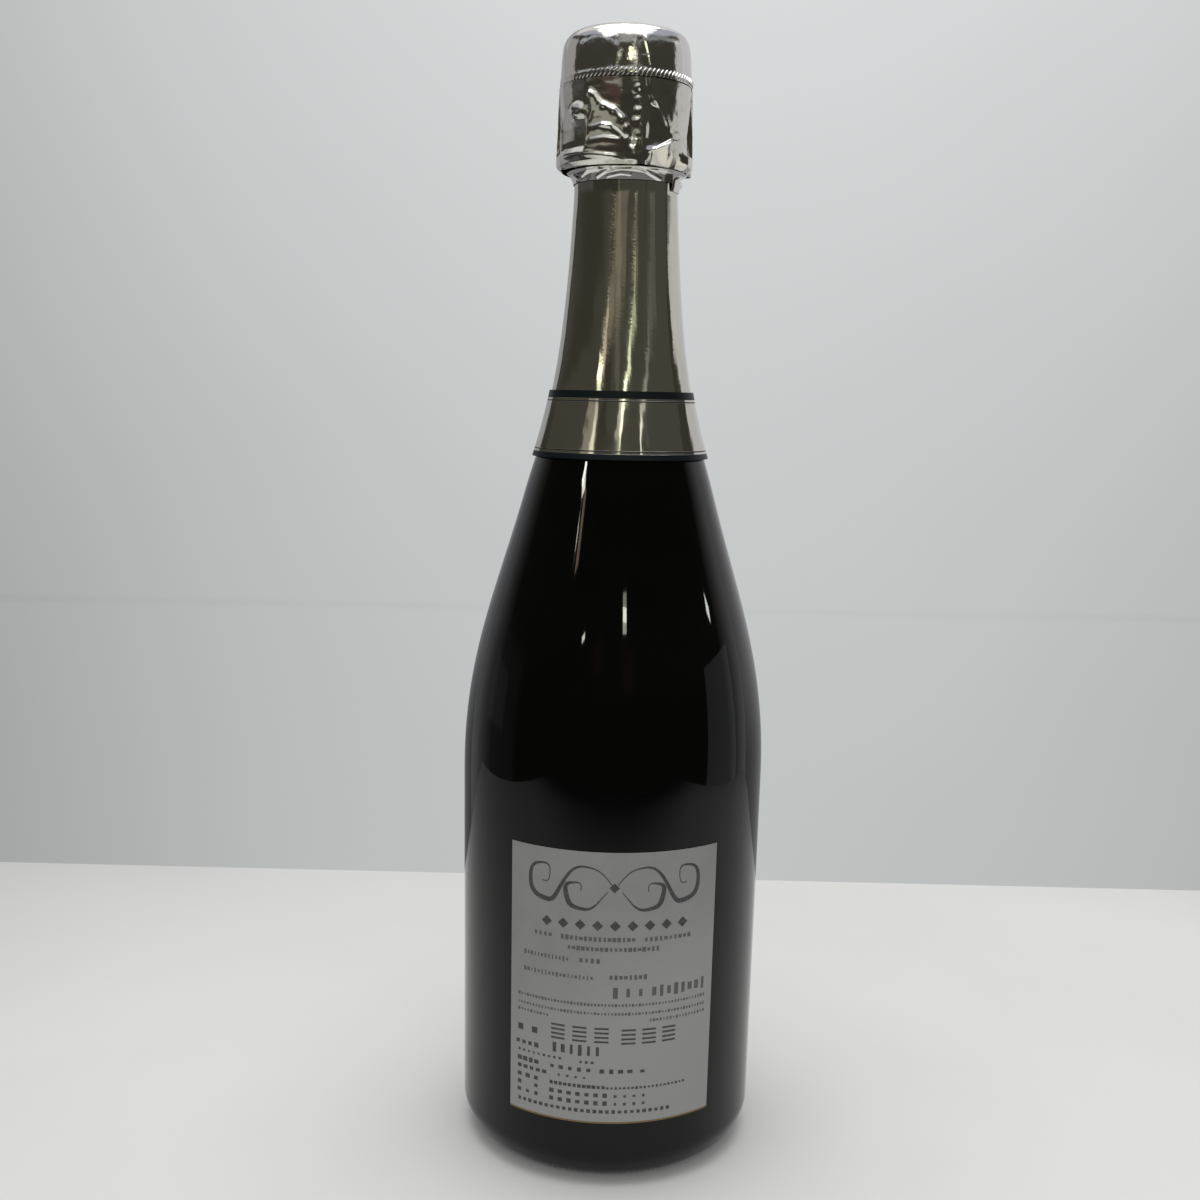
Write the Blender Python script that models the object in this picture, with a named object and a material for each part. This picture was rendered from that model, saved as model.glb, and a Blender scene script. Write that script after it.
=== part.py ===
"""A 75 cl champagne bottle, closed: glass, wine, cork, wire muselet, foil capsule, neck band and label.

Lengths are in metres and +Z is up. The bottle stands on z = 0 and its label faces -Y.
An azimuth is an angle about the bottle's axis in degrees, from -Y towards +X.
An outline is a list of (radius, height) points, and a piece is that outline carried round the axis.
"""

import math

import bmesh
import bpy
from mathutils import Vector
from mathutils.geometry import interpolate_bezier

# Fits shared by all pieces
clearance = 0.0003
merge_distance = 0.000001

# Glass body
body_radius = 0.04425
body_wall = 0.0049
heel_radius = 0.0110
bearing_width = 0.0022
shoulder_height = 0.1130
waist_height = 0.1945
waist_radius = 0.02715
waist_slope_share = 0.28
shoulder_reach = 0.0335
waist_reach_below = 0.0305
waist_reach_above = 0.0180

# Glass punt, the hollow pushed up under the bottle
punt_depth = 0.0290
punt_lip_radius = 0.0040
punt_crown_share = 0.55
punt_side_share = 0.57
floor_wall = 0.0070
floor_corner_radius = 0.0080
floor_reach_shares = (0.92, 0.86)

# Glass neck and finish
glass_height = 0.2995
neck_radius = 0.0138
neck_length = 0.0242
neck_reach = 0.0545
neck_slope_share = 0.05
bore_radius = 0.0090
collar_radius = 0.0155
collar_width = 0.0046
collar_drop = 0.0087
collar_round = 0.0008
bead_radius = 0.0144
bead_width = 0.0058
lip_round = 0.0010

# Wine
wine_headspace = 0.0790

# Cork
cork_length = 0.0250
cork_disc_thickness = 0.0048
cork_head_radius = 0.0142
cork_head_height = 0.01585
cork_head_round = 0.0014
cork_edge_round = 0.0003

# Plate on top of the cork
plate_radius = 0.0140
plate_thickness = 0.00035
plate_crown_radius = 0.0114
plate_crown_rise = 0.0003
plate_channel_depth = 0.0014
plate_wall_run = 0.0006
plate_skirt = 0.0011

# Wire of the muselet
wire_diameter = 0.0010
strand_gap = 0.0002
leg_azimuth = 12.0
leg_count = 4
leg_turns = 3.25
leg_twist_drop = 0.0036
loop_azimuth = -33.0
loop_turns = 1.0
loop_stem_length = 0.0042
loop_length = 0.0086
loop_width = 0.0068

# Foil capsule
foil_thickness = 0.0004
top_slack = 0.0008
top_depth = 0.0137
top_shoulder_radius = 0.0018
top_taper = 0.00065
top_crown_rise = 0.0003
knurl_height = 0.0026
knurl_depth = 0.00035
hood_collar_slack = 0.0002
hood_belt_slack = 0.0013
hood_hem_drop = 0.0011
hood_hem_taper = 0.0002
swell_slack = 0.0002
tent_rise = 0.0032
ridge_half_angle = 15.0
tent_half_angles = (30.0, 18.0)
strip_height = 0.0028
strip_flare_height = 0.0012
strip_hem_inset = 0.0002
pleat_depth = 0.00012
pleat_count = 12
tab_azimuth = 55.0
tab_length = 0.0095
tab_height = 0.0030
tab_thickness = 0.0005
tab_tip_round = 0.0012
sleeve_tuck = 0.0020

# Neck band and label
band_drop = 0.0949
band_height = 0.0183
band_thickness = 0.0004
label_width = 0.0614
label_height = 0.0806
label_low = 0.0203
label_thickness = 0.0004

# Facets
glass_sides = 32
inner_sides = 24
foil_sides = 48
wire_bevel_steps = 1

wire_radius = wire_diameter / 2
strand_offset = wire_radius + strand_gap / 2
pair_radius = strand_offset + wire_radius


def clear_scene():
    """Empty the file, so that it holds only this bottle."""
    for old in list(bpy.data.objects):
        bpy.data.objects.remove(old, do_unlink=True)


def finish(name, colour, roughness, metallic):
    """A Principled material in a plain colour."""
    material = bpy.data.materials.new(name)
    material.use_nodes = True
    shader = material.node_tree.nodes["Principled BSDF"]
    shader.inputs["Base Color"].default_value = (*colour, 1.0)
    shader.inputs["Roughness"].default_value = roughness
    shader.inputs["Metallic"].default_value = metallic
    material.diffuse_color = (*colour, 1.0)
    return material


def link(name, data, material):
    """Put a mesh or curve into the scene as the sub-part of that name."""
    piece = bpy.data.objects.new(name, data)
    data.materials.append(material)
    bpy.context.scene.collection.objects.link(piece)
    return piece


def place(radius, azimuth, height):
    """The point at a radius, an azimuth and a height."""
    turn = math.radians(azimuth)
    return Vector((radius * math.sin(turn), -radius * math.cos(turn), height))


def arc(centre, radius, start, end, steps):
    """Points on an arc of an outline, its angles in degrees from straight outwards."""
    points = []
    for step in range(steps + 1):
        angle = math.radians(start + (end - start) * step / steps)
        points.append((centre[0] + radius * math.cos(angle), centre[1] + radius * math.sin(angle)))
    return points


def curve(start, start_handle, end_handle, end, steps):
    """Points on a Bezier curve of an outline."""
    knots = [Vector(point) for point in (start, start_handle, end_handle, end)]
    return [tuple(point) for point in interpolate_bezier(*knots, steps + 1)]


def offset(outline, distances):
    """The outline moved to its outer side, right of its way up, by one distance for each point."""
    knots = [Vector(point) for point in outline]
    runs = [(after - before).normalized() for before, after in zip(knots, knots[1:])]
    moved = []
    for knot, before, after, distance in zip(knots, runs[:1] + runs, runs + runs[-1:], distances):
        mitre = (before + after) * distance / (1 + before.dot(after))
        moved.append((knot.x + mitre.y, knot.y - mitre.x))
    return moved


def stretch(outline, low, high):
    """The part of a rising outline between two heights, cut exactly at both."""
    return [point_at(outline, low), *[p for p in outline if low < p[1] < high], point_at(outline, high)]


def point_at(outline, height):
    """The point of a rising outline at a height."""
    for (radius, z), (next_radius, next_z) in zip(outline, outline[1:]):
        if z <= height <= next_z and next_z > z:
            return (radius + (next_radius - radius) * (height - z) / (next_z - z), height)
    ends = (outline[0], outline[-1])
    return (min(ends, key=lambda end: abs(end[1] - height))[0], height)


def turned(name, outline, sides, material):
    """A closed solid of revolution, from an outline that starts and ends on the axis."""
    mesh = bpy.data.meshes.new(name)
    bm = bmesh.new()
    points = [bm.verts.new((radius, 0, height)) for radius, height in outline]
    edges = [bm.edges.new(pair) for pair in zip(points, points[1:])]
    bmesh.ops.spin(bm, geom=points + edges, cent=(0, 0, 0), axis=(0, 0, 1),
                   angle=math.tau, steps=sides, use_merge=True)
    bmesh.ops.remove_doubles(bm, verts=bm.verts, dist=merge_distance)
    bmesh.ops.recalc_face_normals(bm, faces=bm.faces)
    bm.to_mesh(mesh)
    bm.free()
    mesh.shade_smooth()
    mesh.set_sharp_from_angle(angle=math.radians(40))
    return link(name, mesh, material)


def sheet(name, outline, azimuths, wall, material, extra=None, closed=True):
    """A thin wall whose inner side follows an outline, with extra radius where it has ridges.

    The wall grows outwards from that side. An outline that ends on the axis closes in a point.
    """
    outer = offset(outline, [wall] * len(outline))
    for end in (0, -1):
        radius, height = outline[end]
        outer[end] = (0, height + wall) if radius == 0 else (outer[end][0], height)
    mesh = bpy.data.meshes.new(name)
    bm = bmesh.new()
    sides = []
    for profile in (outline, outer):
        rows = []
        for (radius, height), (inner_radius, inner_height) in zip(profile, outline):
            if radius == 0:
                rows.append([bm.verts.new((0, 0, height))] * len(azimuths))
                continue
            swell = [extra(azimuth, inner_radius, inner_height) if extra else 0 for azimuth in azimuths]
            rows.append([bm.verts.new(place(radius + more, azimuth, height))
                         for azimuth, more in zip(azimuths, swell)])
        sides.append(rows)
    inner_rows, outer_rows = sides
    join(bm, inner_rows, closed)
    join(bm, outer_rows, closed)
    join(bm, [inner_rows[0], outer_rows[0]], closed)
    if outline[-1][0] > 0:
        join(bm, [outer_rows[-1], inner_rows[-1]], closed)
    if not closed:
        for edge in (0, -1):
            join(bm, [[row[edge] for row in inner_rows], [row[edge] for row in outer_rows]], False)
    bmesh.ops.recalc_face_normals(bm, faces=bm.faces)
    bm.to_mesh(mesh)
    bm.free()
    mesh.shade_smooth()
    mesh.set_sharp_from_angle(angle=math.radians(40))
    return link(name, mesh, material)


def join(bm, rows, closed):
    """Faces between each row of points and the next."""
    for lower, upper in zip(rows, rows[1:]):
        count = len(lower)
        for column in range(count if closed else count - 1):
            beside = (column + 1) % count
            corners = [lower[column], lower[beside], upper[beside], upper[column]]
            bm.faces.new(list(dict.fromkeys(corners)))


def wire(name, points, material):
    """One closed wire, which runs through the points and back to the first."""
    path = bpy.data.curves.new(name, "CURVE")
    path.dimensions = "3D"
    path.bevel_depth = wire_radius
    path.bevel_resolution = wire_bevel_steps
    path.use_fill_caps = True
    spline = path.splines.new("POLY")
    spline.points.add(len(points) - 1)
    for knot, point in zip(spline.points, points):
        knot.co = (*point, 1)
    spline.use_cyclic_u = True
    return link(name, path, material)


def ring_azimuths(sides, first=0.0):
    """Evenly spaced azimuths right round the bottle."""
    return [first + 360 * side / sides for side in range(sides)]


def apart(azimuth, other):
    """How far two azimuths lie apart, up to 180 degrees."""
    return abs((azimuth - other + 180) % 360 - 180)


def soft_step(share):
    """A share that starts and ends gently, held between 0 and 1."""
    share = min(max(share, 0), 1)
    return share * share * (3 - 2 * share)


# Heights and radii that follow from the sizes above

collar_top = glass_height - collar_drop
collar_bottom = collar_top - collar_width
bead_bottom = glass_height - bead_width
neck_start = glass_height - neck_length
neck_wall = neck_radius - bore_radius

cork_seat = glass_height + clearance
cork_top = cork_seat + cork_head_height
cork_foot = glass_height - cork_length
plate_under = cork_top + clearance
plate_top = plate_under + plate_thickness
channel_under = plate_under - plate_crown_rise - plate_channel_depth
channel_top = channel_under + plate_thickness

eye_radius = wire_diameter + clearance
belt_radius = neck_radius + clearance + wire_radius + eye_radius
belt_height = collar_bottom - 2 * clearance - wire_diameter - wire_radius
eye_foot = belt_height - eye_radius - wire_radius
leg_collar_radius = collar_radius + clearance + pair_radius
leg_head_radius = max(cork_head_radius, bead_radius) + clearance + pair_radius
rim_radius = plate_radius + plate_thickness
rim_leg_radius = rim_radius + clearance + wire_radius
ring_radius = plate_crown_radius + plate_wall_run + plate_thickness + clearance + wire_radius
ring_height = channel_top + clearance + wire_radius
twist_start = ring_height - leg_twist_drop
loop_top = belt_height + loop_stem_length + loop_length + wire_diameter

top_radius = rim_leg_radius + wire_radius + clearance + top_slack
top_crown = plate_top + clearance
top_rim = top_crown - top_depth
hood_top = top_rim - clearance
hood_hem = eye_foot - hood_hem_drop
strip_top = hood_hem - clearance
strip_low = strip_top - strip_height
strip_flare = strip_top - strip_flare_height
strip_radius = neck_radius + clearance
sleeve_top = strip_low - clearance
band_low = glass_height - band_drop
sleeve_low = band_low + sleeve_tuck
collar_skin = collar_radius + clearance + hood_collar_slack
belt_skin = belt_radius + wire_radius + hood_belt_slack
hem_skin = belt_skin - hood_hem_taper


# Glass outlines

def glass_side():
    """The outer side of the glass from the heel to the top of the neck's taper."""
    lean = Vector((-waist_slope_share, 1)).normalized()
    neck_lean = Vector((-neck_slope_share, 1)).normalized()
    waist = Vector((waist_radius, waist_height))
    neck = Vector((neck_radius, neck_start))
    body = (body_radius, shoulder_height)
    shoulder_handle = (body_radius, shoulder_height + shoulder_reach)
    shoulder = curve(body, shoulder_handle, waist - waist_reach_below * lean, waist, 7)
    taper = curve(waist, waist + waist_reach_above * lean, neck - neck_reach * neck_lean, neck, 7)
    return shoulder + taper[1:]


def glass_hollow(side):
    """The inner side of the glass beside that outer side, thicker towards the neck."""
    shares = [(height - shoulder_height) / (neck_start - shoulder_height) for _, height in side]
    walls = [-(body_wall + (neck_wall - body_wall) * soft_step(share)) for share in shares]
    return offset(side, walls)


def punt_outline():
    """The underside, from the top of the punt out to the heel."""
    mouth = body_radius - heel_radius - bearing_width - punt_lip_radius
    crown_handle = (mouth * punt_crown_share, punt_depth)
    side_handle = (mouth, punt_lip_radius + (punt_depth - punt_lip_radius) * punt_side_share)
    dome = curve((0, punt_depth), crown_handle, side_handle, (mouth, punt_lip_radius), 5)
    lip = arc((mouth + punt_lip_radius, punt_lip_radius), punt_lip_radius, 180, 270, 2)
    heel = arc((body_radius - heel_radius, heel_radius), heel_radius, -90, 0, 4)
    return dome + lip[1:] + heel


def floor_outline():
    """The inside of the base, from the wall down and over the punt to the axis."""
    wall = body_radius - body_wall
    valley = wall - floor_corner_radius
    top = punt_depth + floor_wall
    corner = arc((valley, floor_wall + floor_corner_radius), floor_corner_radius, 0, -90, 3)
    valley_reach, crown_reach = floor_reach_shares
    rise = curve(corner[-1], (valley * valley_reach, floor_wall), (valley * crown_reach, top), (0, top), 5)
    return corner + rise[1:]


def finish_outline():
    """The collar and the crown bead, up over the lip and into the bore."""
    under = arc((collar_radius - collar_round, collar_bottom + collar_round), collar_round, -90, 0, 2)
    over = arc((collar_radius - collar_round, collar_top - collar_round), collar_round, 0, 90, 2)
    bead = arc((bead_radius - lip_round, glass_height - lip_round), lip_round, 0, 90, 2)
    lip = arc((bore_radius + lip_round, glass_height - lip_round), lip_round, 90, 180, 2)
    root = (neck_radius, bead_bottom - lip_round)
    return [(neck_radius, collar_bottom), *under, *over, (neck_radius, collar_top), root,
            (bead_radius, bead_bottom), *bead, *lip]


# Muselet paths

def leg_profile():
    """The middle of one leg: from the ring over the plate's rim, then twisted down to the collar."""
    turn = clearance + wire_radius
    over = [(ring_radius, ring_height), *arc((rim_radius, channel_top), turn, 90, 0, 3)]
    down = [(rim_leg_radius, twist_start), (leg_head_radius, cork_seat + cork_head_height / 2),
            (leg_head_radius, glass_height), (leg_collar_radius, collar_top),
            (leg_collar_radius, belt_height + eye_radius + pair_radius)]
    return over, down


def leg_radius_at(height):
    """How far from the axis the middle of a leg lies at a height."""
    return point_at(leg_profile()[1][::-1], height)[0]


def run_along(profile, steps):
    """Evenly spaced points on a profile of straight runs, each with its direction."""
    lengths = [(Vector(b) - Vector(a)).length for a, b in zip(profile, profile[1:])]
    total = sum(lengths)
    points = []
    for step in range(steps + 1):
        left = total * step / steps
        for index, length in enumerate(lengths):
            if left <= length or index == len(lengths) - 1:
                share = min(left / length, 1)
                points.append(Vector(profile[index]).lerp(Vector(profile[index + 1]), share))
                break
            left -= length
    smooth = points[:1] + [(a + 2 * b + c) / 4 for a, b, c in zip(points, points[1:], points[2:])]
    return smooth + points[-1:]


def twisted(profile, azimuth, turns, sign):
    """One strand of a twisted pair along a profile in the plane of an azimuth."""
    side = place(1, azimuth + 90, 0)
    strand = []
    last = len(profile) - 1
    for index, point in enumerate(profile):
        along = (profile[min(index + 1, last)] - profile[max(index - 1, 0)]).normalized()
        outward = place(-along.y, azimuth, along.x)
        turn = math.tau * turns * index / last
        swing = side * math.cos(turn) + outward * math.sin(turn)
        strand.append(place(point.x, azimuth, point.y) + sign * strand_offset * swing)
    return strand


def leg(azimuth):
    """One leg: down one strand, round the eye that holds the belt, and back up the other."""
    over, down = leg_profile()
    pair = run_along(down, 20)
    side = strand_offset * place(1, azimuth + 90, 0)
    near = [place(point[0], azimuth, point[1]) - side for point in over]
    far = [place(point[0], azimuth, point[1]) + side for point in over]
    first = twisted(pair, azimuth, leg_turns, -1)
    second = twisted(pair, azimuth, leg_turns, 1)
    outside = (leg_collar_radius + strand_offset, pair[-1].y)
    reach = outside[1] - belt_height
    eye_side = (belt_radius + eye_radius, belt_height)
    bend = curve(outside, (outside[0], outside[1] - reach / 2), (eye_side[0], belt_height + reach / 3),
                 eye_side, 3)
    ring = bend[1:-1] + arc((belt_radius, belt_height), eye_radius, 0, -290, 8)
    eye = [place(point[0], azimuth, point[1]) for point in ring]
    if first[-1].xy.length < second[-1].xy.length:
        eye.reverse()
    return near + first + eye + second[::-1] + far[::-1]


def hood_wire_path():
    """The whole cage wire: a leg, then an arc of the ring over the plate, four times over."""
    points = []
    quarter = 360 / leg_count
    half_gap = math.degrees(strand_offset / ring_radius)
    for index in range(leg_count):
        azimuth = leg_azimuth + quarter * index
        points += leg(azimuth)
        for step in range(1, 5):
            turn = azimuth + half_gap + (quarter - 2 * half_gap) * step / 5
            points.append(place(ring_radius, turn, ring_height))
    return points


def belt_wire_path():
    """The belt round the neck, its two ends twisted into a stem that carries the folded loop."""
    steps = 32
    opening = math.degrees((strand_offset + wire_diameter) / belt_radius)
    ring = [place(belt_radius, loop_azimuth + opening + (360 - 2 * opening) * step / steps, belt_height)
            for step in range(steps + 1)]
    base = belt_height + loop_stem_length
    stem = run_along([(belt_radius + wire_diameter, belt_height),
                      (leg_collar_radius, belt_height + wire_diameter),
                      (leg_collar_radius, base)], 12)
    near = twisted(stem, loop_azimuth, loop_turns, -1)
    far = twisted(stem, loop_azimuth, loop_turns, 1)
    loop = []
    for step in range(1, 10):
        angle = math.tau * step / 10
        across = math.degrees(math.sin(angle) * loop_width / 2 / leg_collar_radius)
        height = base + wire_radius + (1 - math.cos(angle)) / 2 * loop_length
        loop.append(place(leg_collar_radius, loop_azimuth + across, height))
    if (near[-1] - loop[0]).length > (near[-1] - loop[-1]).length:
        loop.reverse()
    return ring + near + loop + far[::-1]


# Foil shapes

def ridge(azimuth):
    """How much of a leg's ridge the foil shows at an azimuth, from 0 to 1."""
    nearest = min(apart(azimuth, leg_azimuth + 360 * index / leg_count) for index in range(leg_count))
    return max(1 - (nearest / ridge_half_angle) ** 2, 0) ** 2


def tent(azimuth, height):
    """How much of the folded loop's bulge the foil shows, from 0 to 1."""
    share = (height - belt_height) / (loop_top - belt_height)
    wide, narrow = tent_half_angles
    half_angle = wide + (narrow - wide) * min(max(share, 0), 1)
    across = max(1 - (apart(azimuth, loop_azimuth) / half_angle) ** 2, 0) ** 0.8
    return across * (1 - soft_step((height - loop_top) / tent_rise))


def foil_swell(azimuth, radius, height):
    """What the foil stands out by, over the wires beneath it."""
    off_pair = pair_radius + clearance + swell_slack
    leg_swell = max(leg_radius_at(height) + off_pair - radius, 0) * ridge(azimuth)
    leg_swell *= 1 - soft_step((height - twist_start) / leg_twist_drop)
    loop_swell = max(leg_collar_radius + off_pair - radius, 0) * tent(azimuth, height)
    return max(leg_swell, loop_swell)


def pleats(azimuth, radius, height):
    """The small gathers of the tear strip, deepest at its flared edge."""
    depth = pleat_depth * (1 + math.cos(math.radians(pleat_count * azimuth))) / 2
    return depth if height > strip_low else 0


# Sub-parts

def glass_bottle():
    """The glass, one closed wall from the punt up the outside, over the lip and down the inside."""
    side = glass_side()
    hollow = glass_hollow(side)
    outline = punt_outline() + side + finish_outline() + hollow[::-1] + floor_outline()
    material = finish("dark green glass", (0.012, 0.018, 0.010), 0.06, 0.0)
    return turned("glass_bottle", outline, glass_sides, material)


def wine_fill():
    """The wine, which fills the hollow up to its level in the neck."""
    level = glass_height - wine_headspace
    floor = floor_outline()[::-1]
    wall = glass_hollow(glass_side())
    inner = floor + [point for point in wall if point[1] < level]
    inner.append(point_at(wall, level))
    wet = offset(inner, [-clearance] * len(inner))
    outline = [(0, wet[0][1]), *wet[1:-1], (wet[-1][0], level), (0, level)]
    material = finish("wine", (0.62, 0.50, 0.22), 0.05, 0.0)
    return turned("wine_fill", outline, glass_sides, material)


def cork_disc(name, low):
    """One disc of whole cork at the foot of the stopper."""
    radius = bore_radius * math.cos(math.pi / glass_sides) - clearance
    high = low + cork_disc_thickness
    round_off = cork_edge_round
    outline = [(0, low), (radius - round_off, low), (radius, low + round_off),
               (radius, high - round_off), (radius - round_off, high), (0, high)]
    material = finish(name + " cork", (0.55, 0.36, 0.20), 0.85, 0.0)
    return turned(name, outline, inner_sides, material)


def cork_body(low):
    """The pressed-grain stopper, squeezed in the bore and mushroomed over the lip."""
    neck = bore_radius * math.cos(math.pi / glass_sides) - clearance
    bulge = curve((neck, cork_seat), (cork_head_radius, cork_seat), (cork_head_radius, cork_seat),
                  (cork_head_radius, cork_seat + cork_head_round * 2), 4)
    shelf = channel_under - clearance
    edge = plate_radius - plate_wall_run
    crown = plate_crown_radius - clearance
    outline = [(0, low), (neck - cork_edge_round, low), (neck, low + cork_edge_round), *bulge,
               (cork_head_radius, shelf - plate_skirt - cork_head_round),
               (edge, shelf - plate_skirt / 2), (crown + plate_wall_run, shelf),
               (crown, cork_top - plate_crown_rise), (0, cork_top)]
    material = finish("pressed cork", (0.60, 0.42, 0.26), 0.9, 0.0)
    return turned("cork_body", outline, inner_sides, material)


def muselet_plate():
    """The pressed steel cap between the cork and the wire, with a channel for the ring."""
    run = plate_wall_run
    crown = plate_under - plate_crown_rise
    outline = [(plate_radius, channel_under - plate_skirt), (plate_radius, channel_under - run / 2),
               (plate_radius - run, channel_under), (plate_crown_radius + run, channel_under),
               (plate_crown_radius, crown), (0, plate_under)]
    material = finish("lacquered plate", (0.45, 0.40, 0.28), 0.3, 1.0)
    return sheet("muselet_plate", outline, ring_azimuths(glass_sides), plate_thickness, material)


def muselet_wires():
    """The cage and the belt, bent from steel wire."""
    steel = finish("cage wire", (0.60, 0.60, 0.58), 0.3, 1.0)
    wire("muselet_hood_wire", hood_wire_path(), steel)
    wire("muselet_belt_wire", belt_wire_path(), finish("belt wire", (0.58, 0.58, 0.57), 0.3, 1.0))


def foil_top():
    """The drawn disc over the plate, with the rolled rim that the knurling is pressed into."""
    knurl_top = top_rim + knurl_height
    shoulder = top_radius - top_taper - top_shoulder_radius
    shoulder_height_here = top_crown - top_crown_rise - top_shoulder_radius
    bend = arc((shoulder, shoulder_height_here), top_shoulder_radius, 0, 90, 3)
    outline = [(top_radius, top_rim), (top_radius + knurl_depth, top_rim + knurl_height / 3),
               (top_radius + knurl_depth, knurl_top - knurl_height / 3), (top_radius, knurl_top),
               *bend, (0, top_crown)]
    material = finish("silver foil of the top", (0.62, 0.61, 0.58), 0.15, 1.0)
    azimuths = ring_azimuths(foil_sides, leg_azimuth)
    return sheet("foil_top", outline, azimuths, foil_thickness, material, foil_swell)


def foil_hood():
    """The skirt pressed over the cage, with the legs and the loop standing out through it."""
    outline = [(hem_skin, hood_hem), (belt_skin, belt_height), (collar_skin, collar_bottom),
               (collar_skin, collar_top), ((collar_skin + top_radius) / 2, (collar_top + loop_top) / 2),
               (top_radius, loop_top), (top_radius, hood_top)]
    material = finish("silver foil of the hood", (0.60, 0.59, 0.56), 0.15, 1.0)
    azimuths = ring_azimuths(foil_sides, leg_azimuth)
    return sheet("foil_hood", outline, azimuths, foil_thickness, material, foil_swell)


def foil_tear_strip():
    """The ring of foil that tears out under the hood, gathered in to the neck."""
    outline = [(strip_radius, strip_low), (strip_radius, strip_flare),
               (hem_skin - strip_hem_inset, strip_top)]
    material = finish("silver foil of the strip", (0.58, 0.57, 0.54), 0.2, 1.0)
    azimuths = ring_azimuths(foil_sides, leg_azimuth)
    return sheet("foil_tear_strip", outline, azimuths, foil_thickness, material, pleats)


def foil_pull_tab():
    """The free end of the strip, a small tongue that a finger lifts. Its origin is at its root."""
    half = tab_thickness / 2
    high = strip_flare - foil_thickness - clearance
    low = high - tab_height
    back = tab_length - tab_tip_round
    outline = [(0, low), (back, low), (tab_length, low + tab_tip_round),
               (tab_length, high - tab_tip_round), (back, high), (0, high)]
    mesh = bpy.data.meshes.new("foil_pull_tab")
    bm = bmesh.new()
    face = bm.faces.new([bm.verts.new((along, half, height - low)) for along, height in outline])
    grown = bmesh.ops.extrude_face_region(bm, geom=[face])
    moved = [item for item in grown["geom"] if isinstance(item, bmesh.types.BMVert)]
    bmesh.ops.translate(bm, verts=moved, vec=(0, -tab_thickness, 0))
    bmesh.ops.recalc_face_normals(bm, faces=bm.faces)
    bm.to_mesh(mesh)
    bm.free()
    tab = link("foil_pull_tab", mesh, finish("silver foil of the tab", (0.58, 0.57, 0.54), 0.2, 1.0))
    root = strip_radius + foil_thickness + clearance + half
    tab.location = place(root, tab_azimuth, low)
    tab.rotation_euler.z = math.radians(tab_azimuth)
    return tab


def foil_neck_sleeve():
    """The smooth foil below the tear strip, drawn tight down the neck."""
    side = glass_side() + [(neck_radius, collar_bottom)]
    outline = stretch(side, sleeve_low, sleeve_top)
    inner = offset(outline, [clearance] * len(outline))
    material = finish("silver foil of the neck", (0.55, 0.54, 0.50), 0.15, 1.0)
    return sheet("foil_neck_sleeve", inner, ring_azimuths(glass_sides), foil_thickness, material)


def neck_band():
    """The printed band that covers the foil's lower edge."""
    outline = stretch(glass_side(), band_low, band_low + band_height)
    off_glass = 2 * clearance + foil_thickness
    inner = offset(outline, [off_glass] * len(outline))
    material = finish("band foil", (0.55, 0.54, 0.50), 0.15, 1.0)
    return sheet("neck_band", inner, ring_azimuths(glass_sides), band_thickness, material)


def back_label():
    """The paper label, one flat sheet wrapped on the body."""
    radius = body_radius + clearance
    half_angle = math.degrees(label_width / 2 / radius)
    columns = 12
    azimuths = [half_angle * (2 * column / columns - 1) for column in range(columns + 1)]
    outline = [(radius, label_low), (radius, label_low + label_height)]
    material = finish("label paper", (0.55, 0.55, 0.54), 0.8, 0.0)
    return sheet("back_label", outline, azimuths, label_thickness, material, closed=False)


clear_scene()
glass_bottle()
wine_fill()
cork_disc("cork_disc_lower", cork_foot)
cork_disc("cork_disc_upper", cork_foot + cork_disc_thickness + clearance)
cork_body(cork_foot + 2 * (cork_disc_thickness + clearance))
muselet_plate()
muselet_wires()
foil_top()
foil_hood()
foil_tear_strip()
foil_pull_tab()
foil_neck_sleeve()
neck_band()
back_label()
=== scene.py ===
"""A closed champagne bottle on a white table: dark glass, a foil capsule over the wire, a paper label.

Lengths are in metres, and in millimetres where a name ends in _mm.
The bottle stands on z = 0 and its label faces -Y.
An azimuth is an angle about the bottle's axis in degrees, from -Y towards +X.
An outline is a list of (radius, height) points, and a row is a ring of points at one of them.
A path on the foil is a list of (azimuth, height in millimetres) points.
"""

import math

import bpy
import numpy as np
from mathutils import Matrix, Vector, noise
from mathutils.geometry import interpolate_bezier


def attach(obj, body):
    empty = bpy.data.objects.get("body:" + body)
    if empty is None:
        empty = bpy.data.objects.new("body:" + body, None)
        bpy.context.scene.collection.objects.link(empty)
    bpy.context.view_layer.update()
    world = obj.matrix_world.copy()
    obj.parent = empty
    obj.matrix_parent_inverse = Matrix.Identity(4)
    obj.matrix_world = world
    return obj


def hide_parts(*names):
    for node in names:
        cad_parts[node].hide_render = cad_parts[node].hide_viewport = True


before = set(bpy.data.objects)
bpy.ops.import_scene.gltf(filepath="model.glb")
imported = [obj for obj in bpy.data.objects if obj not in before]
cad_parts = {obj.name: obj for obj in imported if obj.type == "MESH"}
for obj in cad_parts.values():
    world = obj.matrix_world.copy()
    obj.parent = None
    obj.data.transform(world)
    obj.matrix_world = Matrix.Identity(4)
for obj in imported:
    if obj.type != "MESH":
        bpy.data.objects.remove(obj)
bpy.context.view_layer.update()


# Camera
# It stands a little to the left of the label's middle, looks slightly down and leans by a degree.
# Its lens is shifted, so that the bottle stands low in the frame and keeps its verticals.

camera_distance = 0.4003
camera_height = 0.2216
camera_azimuth = -1.94
camera_pitch = 12.42
camera_yaw = -0.60
camera_roll = 1.24
frame_width_px = 1200
focal_length_px = 1378.7
frame_rise_px = 100


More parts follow.
